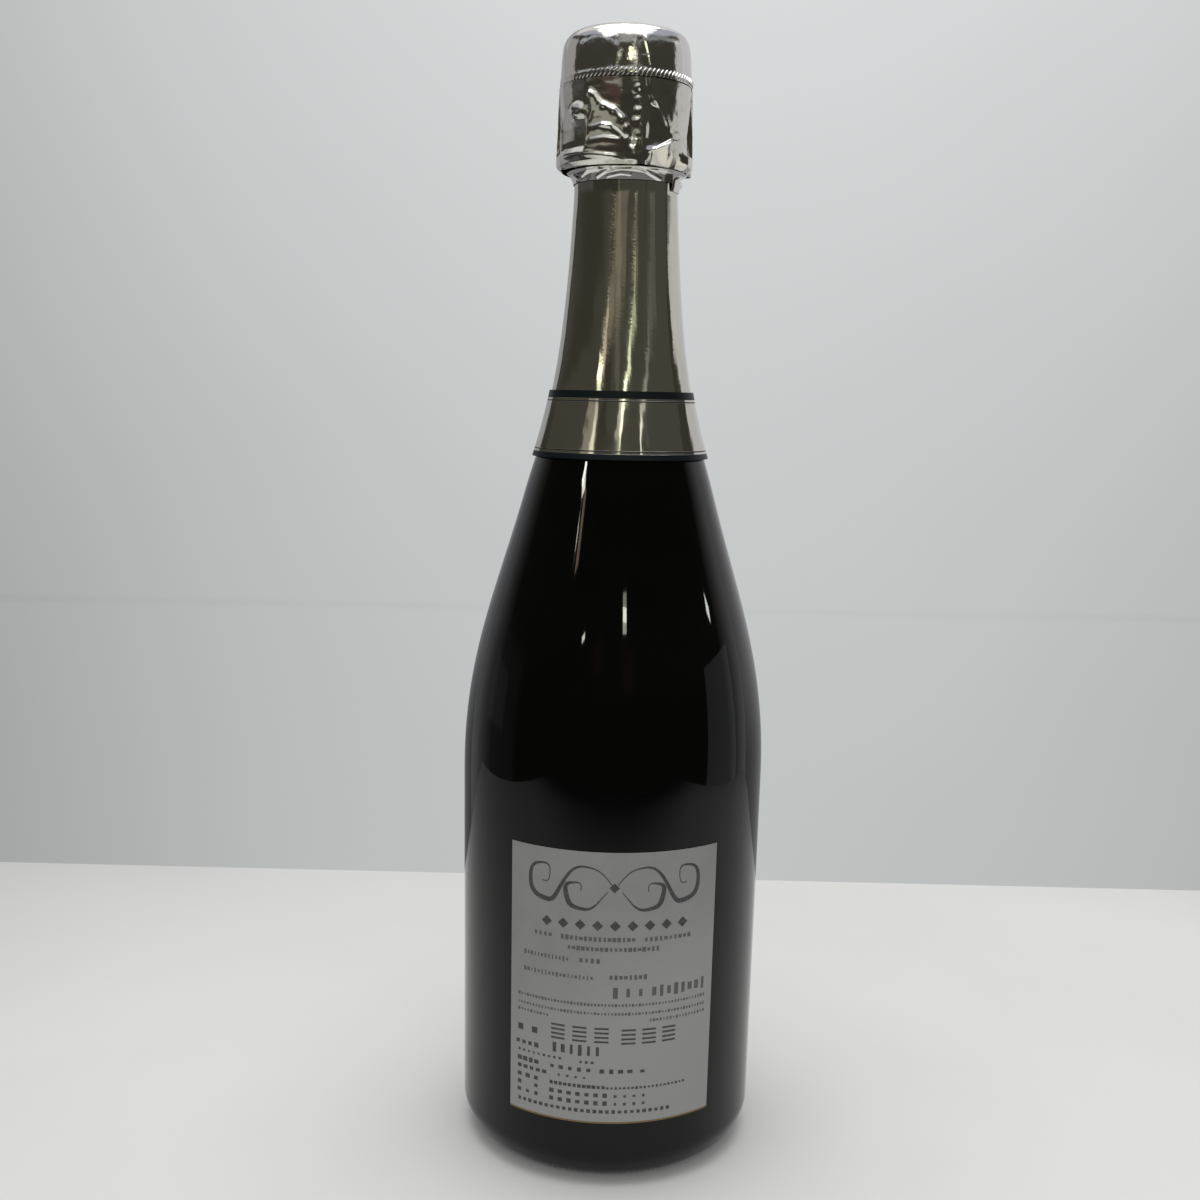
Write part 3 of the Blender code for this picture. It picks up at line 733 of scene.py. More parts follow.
foil_thickness = 0.00014
foil_aside = -0.00055
top_crown = 0.3170
top_radius = 0.0175
top_outline_mm = [(17.65, 302.9), (17.45, 306.0), (17.28, 309.5), (17.08, 311.6), (16.8, 313.3),
                  (16.3, 314.7), (15.4, 315.7), (13.8, 316.4), (11.7, 316.8), (6.0, 316.95)]
leg_half_width = 0.0026
left_bulge_depth = 0.0003
left_bulge_width = 42
crumple_radius = 0.017
foil_over_wire = 0.0004
top_fades = ((0.3130, 0.0030), (0.3135, 0.0015), (0.3155, 0.0020))  # end and run: ridges, creases, dents
rim_roll = (0.0009, 0.00014)  # half height, depth
crease_drift = ((0.3030, 0.3074, 0.3125), (9.0, 6.5, 2.0))  # heights, degrees off the leg
crease_half_width = 1.9
crease_depth = 0.00018
knurl_count = 88
knurl_radius = 0.01760
knurl_size = (0.00060, 0.0008, 0.0027)
knurl_lean = math.radians(35)
knurl_height = 0.3038
knurl_slant = 0.0003


def half_turns(degrees):
    """The same angles, but between -180 and 180 degrees."""
    return (degrees + 180) % 360 - 180


def near_legs(azimuths):
    """How far each azimuth lies from the nearest leg, in degrees."""
    return np.min([np.abs(half_turns(azimuths - leg)) for leg in leg_azimuths], axis=0)


def leg_line(azimuths, height):
    """How far out the foil, which sits a little aside, has to stand over the legs at a height."""
    leg_radius = radius_at(height, leg_profile()[1][::-1])
    return leg_radius + pair_radius + foil_over_wire - foil_aside * np.sin(np.radians(azimuths))


def left_bulge(azimuths):
    """The foil stands out a little more on its left."""
    return left_bulge_depth * np.exp(-(half_turns(azimuths + 90) / left_bulge_width) ** 2)


def set_aside(rows):
    """The rows moved to where the foil sits."""
    return [row + np.array([foil_aside, 0, 0]) for row in rows]


def crumple(azimuths, height, grains, depth, seed):
    """Small dents all over the foil, so many grains to a metre."""
    return depth * np.array([noise.noise(place(crumple_radius, a, height) * grains + Vector((seed, 0, 0)))
                             for a in azimuths])


def top_swell(azimuths, height):
    """The ridges of the legs on the top's side, a crease that drifts off each, and small dents."""
    legs, creases, dents = (np.clip((end - height) / run, 0, 1) for end, run in top_fades)
    past = np.maximum(leg_line(azimuths, height) - radius_at(height * 1000, top_outline_mm) / 1000, 0)
    ridge = past * np.exp(-(near_legs(azimuths) / math.degrees(leg_half_width / top_radius)) ** 2)
    rim = rim_roll[1] * np.exp(-((height - knurl_height) / rim_roll[0]) ** 2)
    off_crease = near_legs(azimuths - np.interp(height, *crease_drift)) / crease_half_width
    return (ridge * legs + rim + crease_depth * np.exp(-off_crease ** 2) * creases
            + (crumple(azimuths, height, 260, 0.00006, 3) + left_bulge(azimuths)) * dents)


def foil_look(spot, warm=(0.80, 0.775, 0.74), dull=0.0):
    """Bright tin-coloured foil: tiny dents, soft scuffs in the gloss."""
    scuff = spot.speckle(240.0, 4.0).rise(0.50, 0.80)
    colour = spot.speckle(60.0, 2.0).rise(0.3, 0.7).blend(warm, tuple(0.93 * c for c in warm))
    dents = spot.speckle(420.0, 2.0).relief(0.00007)
    return {"Base Color": colour, "Roughness": 0.105 + dull + scuff * 0.10,
            "Normal": spot.speckle(2200.0, 1.0).relief(0.000008, dents)}


bright_foil = finish("bright_foil", {"Metallic": 1.0}, foil_look)
knurl = marks_round("knurl_round", "bead")
top_outline = run_along(np.array(top_outline_mm) / 1000, 72, easings=12) + [(0, top_crown)]
top_rows = rows_round(pressed(top_outline, foil_thickness), around(360), top_swell)
top_sheet = skin("foil_top_sheet", set_aside(top_rows), bright_foil)
strokes = grown(knurl, {"Count": knurl_count, "Step": math.tau / knurl_count, "Radius": knurl_radius,
                        "Height": knurl_height, "Slant": knurl_slant, "Size": knurl_size,
                        "Lean": knurl_lean, "Least": 0.85, "Seed": 4})
strokes.transform(Matrix.Translation((foil_aside, 0, 0)))
knurled_rim = joined("foil_top_knurl", [strokes], bright_foil)
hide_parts("foil_top")
for piece in (top_sheet, knurled_rim):
    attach(piece, "foil_cap")


# Hood of the capsule
# A skirt of the same foil, pressed in by hand over the cage, but painted a little darker and warmer
# than the top as painted shade, which dims its reflections. The twists of the legs, the belt and, as a
# tent, the folded loop stand out through it. A pleat runs down each side, and the hem is tucked in
# under the collar.

hood_radius_mm = 17.6
hood_low_mm = 281.2
hood_high_mm = 302.6
hood_line_mm = [(17.0, hood_low_mm), (18.25, 282.2), (18.5, 283.2), (18.5, 284.7), (17.45, 286.0),
                (17.1, 287.6), (17.1, 291.0), (17.4, 294.0), (17.6, 298.0), (17.7, hood_high_mm)]
tuck_azimuths = (14, 22, 54, 66)
tuck_radii_mm = (15.85, 18.35)
tuck_top_mm = ((16, 43), (284.3, 288.5))  # azimuths, heights
leg_ridge_mm = 1.75
tent_soft_mm = 0.22
tent_line_mm = [(18.75, 284.6), (17.95, 298.0)]
tent_mm = [(-38, 284.6), (-37.5, 288), (-36.5, 291.5), (-39, 293.2), (-47, 293.3), (-56, 294.0),
           (-59.5, 295.6), (-55, 297.0), (-47, 297.2), (-41, 296.5), (-38.5, 298.3), (-35, 299.6),
           (-30, 298.9), (-26, 297.0), (-20.5, 296.2), (-12, 295.1), (-4.5, 293.0), (0.2, 290.6),
           (1.4, 287.5), (0.5, 284.6)]
folds_mm = [  # depth, half width, path
    (0.26, 0.50, [(-35, 298.9), (-30, 298.4), (-25, 296.6)]),
    (0.22, 0.45, [(-21.5, 295.6), (-12.6, 294.4), (-5.1, 292.3), (-0.6, 290.2), (0.6, 287.0)]),
    (0.30, 0.50, [(-33, 297.8), (-31, 294.5), (-34, 291.4), (-36, 288.5), (-37, 285.6)]),
    (0.28, 0.50, [(-31, 290.4), (-22, 290.9), (-14.7, 290.5)]),
    (0.38, 0.55, [(-21.5, 290.7), (-15, 290.3), (-9, 289.0), (-3, 287.2), (1.6, 285.3)]),
    (0.28, 0.60, [(-31.6, 287.2), (-20, 287.5), (-7, 287.0)]),
    (0.38, 0.65, [(-63, 283.9), (-45, 284.2), (-27, 283.6), (-12, 282.8), (-3, 281.9)]),
    (0.26, 0.85, [(23.2, 297.4), (32, 294.9), (40.5, 290.9)]),
    (0.30, 0.85, [(18.2, 302.6), (18.8, 300.6), (21.8, 297.0)]),
    (0.25, 0.60, [(118, 297.0), (131, 292.0), (138, 287.0)]),
    (0.25, 0.60, [(168, 299.0), (176, 293.0), (170, 288.0)]),
    (0.22, 0.60, [(-108, 298.0), (-122, 293.5), (-127, 288.0)])]
pleats_mm = [(86.6, 0.70, 0.60), (-90.2, 0.42, 0)]  # azimuth, half width, depth of the dent before it
pleat_dent_mm = (1.9, 0.9, 287.5, 289.5)  # distance, half width, heights between which it starts
pleat_crest_mm = [(17.0, hood_low_mm), (18.45, 282.4), (18.55, 283.5), (17.90, 301.5)]
beads_mm = [(7.7, 300.0, 0.8), (7.9, 297.2, 0.8), (8.1, 294.4, 0.8), (6.5, 291.8, 0.8), (-34.5, 299.0, 0.75),
            (-21.5, 295.5, 0.75), (-12.6, 294.3, 0.75), (-5.1, 292.2, 0.75), (-0.8, 290.0, 0.70),
            (0.4, 287.4, 0.65), (-50.5, 295.3, 1.5), (-43, 295.0, 1.1), (7.0, 288.6, 0.62)]
eye_mm = (6.0, 286.6, 0.45, 0.88, 1.52)  # azimuth, height, depth, half width, half height
hood_dents = ((210, 0.00010, 11), (520, 0.00004, 23))  # grains to a metre, depth, seed


def aside_mm(degrees):
    """Angles on the skin as lengths round it, in millimetres, the short way round."""
    return half_turns(degrees) * math.radians(hood_radius_mm)


def to_path(azimuths, up, path):
    """How far each azimuth, at one height, lies from a path on the skin, in millimetres."""
    best = np.full(len(azimuths), 1000.0)
    for (first, low), (second, high) in zip(path, path[1:]):
        run, climb = aside_mm(second - first), high - low
        left = aside_mm(azimuths - first)
        share = np.clip((left * run + (up - low) * climb) / (run * run + climb * climb), 0, 1)
        best = np.minimum(best, np.hypot(left - share * run, up - low - share * climb))
    return best


def within(azimuths, up, path):
    """True for each azimuth that lies inside a closed path on the skin, at one height."""
    along = half_turns(azimuths)
    inside = np.zeros(len(along), bool)
    for (first, low), (second, high) in zip(path, path[1:]):
        if (low > up) != (high > up):
            inside ^= along < first + (second - first) * (up - low) / (high - low)
    return inside


def doubled(outline, thickness):
    """The outline of a sheet round the axis: up its outer side and back down its inner side."""
    return outline + [(radius - thickness, height) for radius, height in outline[::-1]]


def hood_swell(azimuths, height):
    """How far the hood stands out past its middling radius, with every ridge and dent."""
    up = height * 1000
    along = half_turns(azimuths)
    reach = np.full(len(along), radius_at(up, hood_line_mm))

    hem, crown = tuck_radii_mm
    tuck = np.interp(along, tuck_azimuths, (0, 1, 1, 0))
    top = np.interp(along, *tuck_top_mm)
    share = np.clip((up - hood_low_mm) / (top - hood_low_mm), 0, 1)
    reach += tuck * (hem + (crown - hem) * share ** 0.85 - reach) * np.clip((top - up) / 0.5, 0, 1)

    rim = tent_mm + tent_mm[:1]
    gap = np.where(within(azimuths, up, rim), -1.0, 1.0) * to_path(azimuths, up, rim)
    tent = 1 / (1 + np.exp(np.clip(gap / tent_soft_mm, -50, 50)))
    reach += tent * np.maximum(radius_at(up, tent_line_mm) - reach, 0)

    on_leg = np.exp(-(aside_mm(near_legs(azimuths)) / leg_ridge_mm) ** 2)
    reach += on_leg * np.maximum(leg_line(azimuths, height) * 1000 - reach, 0)
    for depth, width, path in folds_mm:
        reach += depth * np.exp(-(to_path(azimuths, up, path) / width) ** 2)
    before, wide, *start = pleat_dent_mm
    for azimuth, width, dent in pleats_mm:
        aside = aside_mm(azimuths - azimuth)
        reach -= dent * np.exp(-((aside + before) / wide) ** 2) * np.interp(up, start, (0, 1))
        reach += np.maximum(radius_at(up, pleat_crest_mm) - reach, 0) * np.exp(-(aside / width) ** 2)
    for azimuth, z, width in beads_mm:
        reach += 0.5 * width * np.exp(-(np.hypot(aside_mm(azimuths - azimuth), up - z) / width) ** 2)
    azimuth, z, depth, wide, tall = eye_mm
    reach += depth * np.exp(-np.hypot(aside_mm(azimuths - azimuth) / wide, (up - z) / tall) ** 4)
    return ((reach - hood_radius_mm) / 1000 + left_bulge(azimuths)
            + sum(crumple(azimuths, height, *dents) for dents in hood_dents))


hood_outline = [(hood_radius_mm / 1000, z / 1000) for z in np.linspace(hood_low_mm, hood_high_mm, 90)]
hood_rows = rows_round(doubled(hood_outline, foil_thickness), around(420), hood_swell)
# Painted shade: the hood's foil gets a darker, warmer colour than the top's, which dims and yellows its
# reflections.
hood_foil = finish("hood_foil", {"Metallic": 1.0}, lambda spot: foil_look(spot, (0.76, 0.74, 0.67), 0.02))
hood = skin("foil_hood_sheet", set_aside(hood_rows), hood_foil, looped=True)
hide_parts("foil_hood")
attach(hood, "foil_cap")


# Tear strip
# The ring of foil between the hood and the neck, which a finger tears out. It is gathered in to
# the glass, so it lies in small crescent folds.

strip_line_mm = [(14.62, 277.9), (14.70, 278.6), (14.85, 279.6), (15.2, 280.3), (16.3, 280.9)]
crescents_mm = [  # depth, half width, path
    (0.42, 0.42, [(-56, 279.2), (-44, 280.4), (-30, 281.0), (-19, 280.6)]),
    (0.45, 0.42, [(-34, 278.6), (-26, 279.6), (-12, 280.6), (6, 280.9), (16, 280.2), (25, 279.2),
                  (36, 278.2)]),
    (0.30, 0.40, [(-22, 278.6), (-8, 279.3), (2, 279.0)]),
    (0.35, 0.45, [(60, 278.6), (75, 280.2), (95, 280.6), (112, 279.2)]),
    (0.35, 0.45, [(120, 279.2), (140, 280.6), (165, 280.0), (178, 278.8)]),
    (0.35, 0.45, [(-170, 279.0), (-150, 280.4), (-128, 280.2), (-112, 278.8)]),
    (0.35, 0.45, [(-104, 279.2), (-88, 280.5), (-70, 279.6), (-62, 278.6)])]


def strip_swell(azimuths, height):
    """The crescents of the strip and its small gathers."""
    folds = sum(depth * np.exp(-(to_path(azimuths, height * 1000, path) / width) ** 2)
                for depth, width, path in crescents_mm)
    return folds / 1000 + crumple(azimuths, height, 420, 0.00008, 31)


strip_outline = [(radius_at(z, strip_line_mm) / 1000, z / 1000)
                 for z in np.linspace(strip_line_mm[0][1], strip_line_mm[-1][1], 22)]
strip_foil = finish("strip_foil", {"Metallic": 1.0}, foil_look)
strip_rows = rows_round(doubled(strip_outline, foil_thickness), around(420), strip_swell)
strip = skin("foil_strip_sheet", strip_rows, strip_foil, looped=True)
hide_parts("foil_tear_strip")
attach(strip, "bottle")


# Pull tab
# The loose end of the strip, folded double so that a finger can lift it. It lies along the neck
# under the hood's right edge.

tab_azimuth = 55.0
tab_low = 0.2760
tab_high = 0.2790
tab_length = 0.0078
tab_thickness = 0.0003
tab_radius = 0.01475
tab_slope = 0.0003
tab_wave = 0.00005
tab_ripple = 0.00004
tab_rounding = (0.86, 0.15)  # where along the tab it starts and how long it is, as shares


def capped(rows):
    """The rows with a pole at each end, so that the piece is closed."""
    first, last = ([sum(row, Vector((0, 0, 0))) / len(row)] for row in (rows[0], rows[-1]))
    return [first, *rows, last]


def tab_rows():
    """Rows across the tongue, from its root round the neck to its rounded end."""
    middle, half = (tab_low + tab_high) / 2, (tab_high - tab_low) / 2
    round_start, round_run = tab_rounding
    sides = (-1, -0.4, 0.4, 1)
    corners = [(side, -0.5) for side in sides] + [(side, 0.5) for side in sides[::-1]]
    rows = []
    for step in range(25):
        share = step / 24
        narrow = math.sqrt(max(1 - max((share - round_start) / round_run, 0) ** 2, 0.02))
        turn = tab_azimuth + share * math.degrees(tab_length / tab_radius)
        reach = tab_radius + tab_ripple * math.sin(share * 13)
        row = []
        for side, thick in corners:
            wave = tab_wave * math.cos(side * 2.5) if abs(side) < 1 else 0
            row.append(place(reach + wave + side * tab_slope + thick * tab_thickness, turn,
                             middle + side * half * narrow))
        rows.append(row)
    return rows


tab_foil = finish("tab_foil", {"Metallic": 1.0}, foil_look)
tab = skin("foil_tab_sheet", capped(tab_rows()), tab_foil)
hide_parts("foil_pull_tab")
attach(tab, "tear_tab")


# Neck sleeve
# Thin foil, drawn tight down the neck by rollers. It shows long soft wrinkles, and its lacquer is a
# little duller and warmer than the hood's.

sleeve_high = 0.2778
sleeve_low = 0.2066
sleeve_gap = 0.0003
sleeve_wrinkles = ((0.00006, 190, 28, 0), (0.00003, 420, 60, 5))


def on_glass(low, high, gap, steps):
    """An outline at a gap off the glass, between two heights."""
    heights = np.linspace(low, high, steps + 1)
    return offset(list(zip(radius_at(heights, glass_side() + [(neck.x, collar_low)]), heights)), gap)


def wrapped(low, high, gap, thickness, steps):
    """The outline of a foil round the neck: up its outer side and back down its inner side."""
    return on_glass(low, high, gap + thickness, steps) + on_glass(low, high, gap, steps)[::-1]


def waves(azimuths, height, radius, kinds):
    """Waves in a foil. Each kind has a depth, its grains to a metre round and up, and a seed."""
    spots = [place(radius, a, 0).xy for a in azimuths]
    return sum(np.array([depth * noise.noise(Vector((*spot * across, height * up + seed))) for spot in spots])
               for depth, across, up, seed in kinds)


def sleeve_look(spot):
    """Silver foil under a warm lacquer, with wrinkles down the neck."""
    ripples = spot.speckle(210.0, 2.0, (1, 1, 0.16)).relief(0.00016)
    scuff = spot.speckle(160.0, 4.0, (1, 1, 0.5)).rise(0.45, 0.80)
    colour = spot.speckle(40.0, 2.0).rise(0.3, 0.7).blend((0.70, 0.68, 0.60), (0.64, 0.62, 0.54))
    return {"Base Color": colour, "Roughness": 0.065 + scuff * 0.06,
            "Normal": spot.speckle(1800.0, 1.0).relief(0.000006, ripples)}


sleeve_outline = wrapped(sleeve_low, sleeve_high, sleeve_gap, foil_thickness, 90)
sleeve_foil = finish("sleeve_foil", {"Metallic": 1.0}, sleeve_look)
sleeve_rows = rows_round(sleeve_outline, around(300), lambda azimuths, height:
                         waves(azimuths, height, crumple_radius, sleeve_wrinkles))
sleeve = skin("neck_sleeve_sheet", sleeve_rows, sleeve_foil, looped=True)
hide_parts("foil_neck_sleeve")
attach(sleeve, "bottle")


# Neck band
# A band of the same foil over the sleeve's lower edge. A thick and a thin black line are printed
# along each of its edges.

band_low = 0.2046
band_high = 0.2229
band_gap = 0.0008
thick_line = 0.0018
line_gap = 0.0006
thin_line = 0.00028
line_soft = 0.00004
band_wave_radius = 0.02
band_waves = ((0.00004, 200, 60, 9),)


def band_look(spot):
    """The sleeve's lacquered foil, with the printed lines."""
    up, down = spot.part(2) - band_low, band_high - spot.part(2)
    start = thick_line + line_gap
    ink = sum(height.rise(thick_line, thick_line + line_soft, 1.0, 0.0)
              + height.between(start, start + thin_line, line_soft) for height in (up, down))
    ink = spot.sum("MINIMUM", ink, 1.0)
    ripples = spot.speckle(190.0, 2.0, (1, 1, 0.2)).relief(0.00013)
    scuff = spot.speckle(160.0, 4.0).rise(0.45, 0.80)
    foil = spot.speckle(40.0, 2.0).rise(0.3, 0.7).blend((0.70, 0.68, 0.61), (0.65, 0.63, 0.56))
    return {"Base Color": ink.blend(foil, (0.004, 0.006, 0.007)), "Metallic": 1.0 - ink,
            "Roughness": 0.075 + scuff * 0.06 + ink * 0.30, "Normal": (ink * 0.4).relief(0.00005, ripples)}


band_outline = wrapped(band_low, band_high, band_gap, foil_thickness * 2, 36)
band_foil = finish("band_foil_printed", {"Specular IOR Level": 0.2}, band_look)
band_rows = rows_round(band_outline, around(300), lambda azimuths, height:
                       waves(azimuths, height, band_wave_radius, band_waves))
band = skin("neck_band_sheet", band_rows, band_foil, looped=True)
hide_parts("neck_band")
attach(band, "bottle")


# Label
# A sheet of silver-grey paper glued on the body, with a gilt line along its lower edge. Its print
# is plain: a flourish, a row of lozenges, and bars and squares where small print would be.

label_width = 0.0614
label_low = 0.0203
label_high = 0.1009
label_radius = 0.04452
label_thickness = 0.00012
ink_thickness = 0.00006
gilt_width = 0.0006
small_print_low = 0.0508
small_print_high = 0.0774


def paper_look(spot):
    """Smooth paper: fine fibres, faint mottling and the gilt edge, with painted light that makes it paler
    towards its lower right corner.
    """
    fibre = spot.speckle(2600.0, 3.0, (1, 1, 1.6))
    mottle = spot.speckle(120.0, 3.0)
    gilt = spot.part(2).rise(label_low + gilt_width * 0.8, label_low + gilt_width, 1.0, 0.0)
    paper = mottle.rise(0.3, 0.7).blend((0.214, 0.215, 0.208), (0.231, 0.232, 0.225))
    # Painted light: the paper is made paler towards its lower right corner, where more light falls on it.
    corner = (spot.part(0) * 0.5 - spot.part(2)).rise(-0.085, -0.045) * 0.85
    paper = corner.blend(paper, (0.275, 0.276, 0.266))
    return {"Base Color": gilt.blend(paper, (0.16, 0.105, 0.045)), "Roughness": 0.62 + fibre * 0.14,
            "Normal": fibre.relief(0.00003)}


def ink_look(spot):
    """Dark grey ink, thin where the paper's fibres show through and paler in the smallest print."""
    thin = spot.speckle(2200.0, 2.0).rise(0.45, 0.75)
    small = spot.part(2).between(small_print_low, small_print_high, 0.0002)
    ink = thin.blend((0.045, 0.047, 0.047), (0.095, 0.097, 0.094))
    return {"Base Color": (small * 0.35).blend(ink, (0.160, 0.162, 0.158)), "Roughness": 0.6 + thin * 0.1}


half_label = math.degrees(label_width / 2 / body_radius)
label_azimuths = np.linspace(-half_label, half_label, 97)
label_outline = doubled([(label_radius, height) for height in np.linspace(label_low, label_high, 33)],
                        label_thickness)
paper = finish("label_stock", {"Specular IOR Level": 0.35}, paper_look)
label = skin("label_sheet", rows_round(label_outline, label_azimuths), paper, looped=True, closed=False)
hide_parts("back_label")

grey_ink = finish("grey_ink", {"Specular IOR Level": 0.3}, ink_look)
print_row = marks_round("marks_in_a_row", "box")
small_print_mm = [  # left, right, height, mark width, mark height, least share, pitch
    (-23.0, -17.5, 75.8, 1.1, 1.5, 0.55, 1.30), (-15.0, 6.0, 75.8, 1.1, 1.5, 0.55, 1.30),
    (8.5, 22.5, 75.7, 1.1, 1.5, 0.55, 1.30), (-13.0, 13.0, 72.9, 1.1, 1.5, 0.55, 1.30),
    (-26.3, -12.5, 69.3, 0.8, 1.6, 0.40, 1.05), (-9.5, -3.7, 69.4, 1.0, 1.6, 0.60, 1.25),
    (-26.3, -5.5, 64.3, 0.8, 1.6, 0.40, 1.05), (-1.0, 9.6, 64.7, 1.0, 1.6, 0.60, 1.25),
    (0.1, 8.6, 60.1, 1.4, 3.5, 0.60, 2.30), (11.1, 28.0, 60.2, 1.4, 3.5, 0.60, 2.10),
    (-28.2, 28.3, 56.4, 0.75, 1.0, 0.45, 0.95), (-28.2, 28.3, 53.8, 0.75, 1.0, 0.45, 0.95),
    (-28.2, -18.2, 51.7, 0.75, 1.0, 0.45, 0.95), (10.6, 28.4, 51.6, 0.75, 1.0, 0.45, 0.95),
    (-16.9, -3.2, 42.4, 1.3, 3.5, 0.60, 2.10)]
squares_mm = [  # left, right, height, size, pitch
    (-28.2, -21.6, 46.2, 1.9, 3.2), (-28.9, -21.2, 41.7, 1.5, 1.85), (-28.0, -14.2, 39.2, 0.8, 1.5),
    (-9.0, -4.8, 38.9, 0.9, 1.4), (-28.2, -21.1, 36.6, 1.5, 1.75), (-28.2, -18.6, 34.2, 1.4, 1.85),
    (-28.2, -21.2, 31.6, 1.5, 2.3), (-28.2, -21.2, 29.2, 1.4, 3.4), (-28.2, -21.2, 26.8, 1.3, 2.3),
    (-17.6, -5.6, 36.5, 1.35, 2.2), (-3.2, 6.2, 36.4, 1.45, 2.2), (8.4, 12.6, 36.3, 1.3, 2.1),
    (-15.2, -7.0, 34.1, 0.8, 2.0), (-17.7, -1.4, 31.5, 1.2, 1.35), (-1.2, 22.2, 31.3, 0.8, 1.15),
    (-17.7, -0.8, 29.0, 1.4, 2.2), (1.0, 10.0, 28.8, 0.9, 2.2), (-17.7, -0.8, 26.6, 1.4, 2.2),
    (1.0, 10.0, 26.4, 0.9, 2.2), (-28.0, 17.6, 24.0, 1.2, 1.7)]
tall_squares_mm = [(-17.3, -0.8, 47.3, 4.0, 5.0), (2.8, 18.6, 46.9, 4.0, 5.0)]
lozenges_mm = [(-20.2, 20.8, 79.8, 2.16, 9), (-1.1, 1.1, 90.8, 2.0, 1)]  # the last number is a count


def print_marks(left, right, height, wide, tall, pitch, least=1.0, lean=0.0, count=None):
    """One row of marks between two places on the label, all in millimetres."""
    count = count or max(int((right - left) / pitch), 1)
    step = (right - left - wide) / max(count - 1, 1)
    radius = label_radius * 1000
    return grown(print_row, {"Count": count, "First": (left + wide / 2) / radius, "Step": step / radius,
                             "Radius": label_radius, "Height": height / 1000, "Lean": lean,
                             "Size": (wide / 1000, ink_thickness, tall / 1000), "Least": least,
                             "Seed": int(height * 10 + left)})


def ribbon(path, widths):
    """A pen stroke on the label: a path of (across, height) in millimetres with a width at each point."""
    knots = [Vector(point) for point in path]
    rows = []
    for index, (knot, width) in enumerate(zip(knots, widths)):
        along = (knots[min(index + 1, len(knots) - 1)] - knots[max(index - 1, 0)]).normalized()
        aside = Vector((-along.y, along.x)) * width / 2
        row = []
        for point, lift in ((knot + aside, 1), (knot - aside, 1), (knot - aside, -1), (knot + aside, -1)):
            turn = math.degrees(point.x / 1000 / label_radius)
            row.append(place(label_radius + lift * ink_thickness / 2, turn, point.y / 1000))
        rows.append(row)
    return rows


def pen_curve(knots, steps=14):
    """A smooth path through points with a handle at each: (x, y, handle x, handle y)."""
    path = []
    for (ax, ay, ahx, ahy), (bx, by, bhx, bhy) in zip(knots, knots[1:]):
        path += curve((ax, ay), (ax + ahx, ay + ahy), (bx - bhx, by - bhy), (bx, by), steps)[:-1]
    return path + [tuple(knots[-1][:2])]


flourish_mm = [
    [(0.8, 91.6, 3.0, 4.2), (8.5, 96.6, 3.2, 0.3), (15.5, 89.8, 2.0, -4.0), (20.6, 86.4, 2.6, 0.6),
     (24.4, 91.8, 0.0, 3.4), (20.8, 96.4, -2.4, 0.3), (18.4, 93.2, 0.2, -2.2), (20.6, 91.4, 1.0, 0.3)],
    [(2.0, 89.6, 2.6, -2.8), (9.0, 84.4, 3.4, 0.5), (13.6, 88.6, 0.7, 3.2), (11.0, 91.9, -1.7, 0.3),
     (9.4, 89.6, 0.3, -1.6)]]
pen_thin_mm, pen_swell_mm = 0.26, 1.15
pen_strokes = []
for knots in flourish_mm:
    for side in (-1, 1):
        path = [(side * x, y) for x, y in pen_curve(knots)]
        shares = [min(index / len(path) * 1.15, 1) for index in range(len(path))]
        widths = [pen_thin_mm + pen_swell_mm * math.sin(math.pi * share) ** 2 for share in shares]
        stroke = skin("pen_stroke", capped(ribbon(path, widths)), grey_ink)
        pen_strokes.append(stroke.data)
        bpy.data.objects.remove(stroke)

printed = [print_marks(left, right, height, wide, tall, pitch, least)
           for left, right, height, wide, tall, least, pitch in small_print_mm]
printed += [print_marks(left, right, height, size, size, pitch, 0.7)
            for left, right, height, size, pitch in squares_mm]
printed += [print_marks(left, right, height + share * size, size, 0.55, pitch, count=3)
            for left, right, height, size, pitch in tall_squares_mm for share in (-0.5, -0.17, 0.17, 0.5)]
printed += [print_marks(left, right, height, size, size, 1, lean=math.radians(45), count=count)
            for left, right, height, size, count in lozenges_mm]
print_piece = joined("label_print", printed + pen_strokes, grey_ink)
for piece in (label, print_piece):
    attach(piece, "bottle")


# Table and studio
# A white table top with a rounded edge, a pale wall behind it, one large soft lamp overhead and a
# weak one in front. What the foil and the glass mirror is a dim room with a few lamps in it.

table_left, table_right = -0.5, 0.5
table_front, table_back = -0.52, 0.2207
table_skew = 0.03
table_thickness = 0.03
table_round = 0.0025
# Where the painted light on the table is brightest, and the near part that is painted dark in reflections
# only.
painted_light_middle_x = 0.08
painted_shade_near_part = (-0.46, -0.20)


def table_look(spot):
    """White laminate with a faint mottle; painted shade darkens it away from a middle near the bottle, and
    painted shade makes its near part almost black in reflections.
    """
    mottle = spot.speckle(9.0, 3.0)
    fine = spot.speckle(900.0, 2.0)
    across, along = spot.part(0) - painted_light_middle_x, spot.part(1)
    away = spot.sum("SQRT", across * across + along * along)
    white = mottle.rise(0.3, 0.7).blend((0.765, 0.765, 0.755), (0.79, 0.79, 0.78))
    # Painted shade: the laminate is painted darker away from a middle near the bottle, where the light falls
    # off.
    lit = (away.rise(0.20, 0.56) * 0.45).blend(white, (0.20, 0.20, 0.20))
    # Painted shade: in reflections only, the table's near part is painted almost black, standing in for the
    # dark room in front.
    mirrored = spot.node("ShaderNodeLightPath", output="Is Glossy Ray")
    front = along.rise(*painted_shade_near_part, 1.0, 0.0) * mirrored
    return {"Base Color": front.blend(lit, (0.03, 0.03, 0.03)), "Roughness": 0.50 + fine * 0.1,
            "Normal": fine.relief(0.00002)}


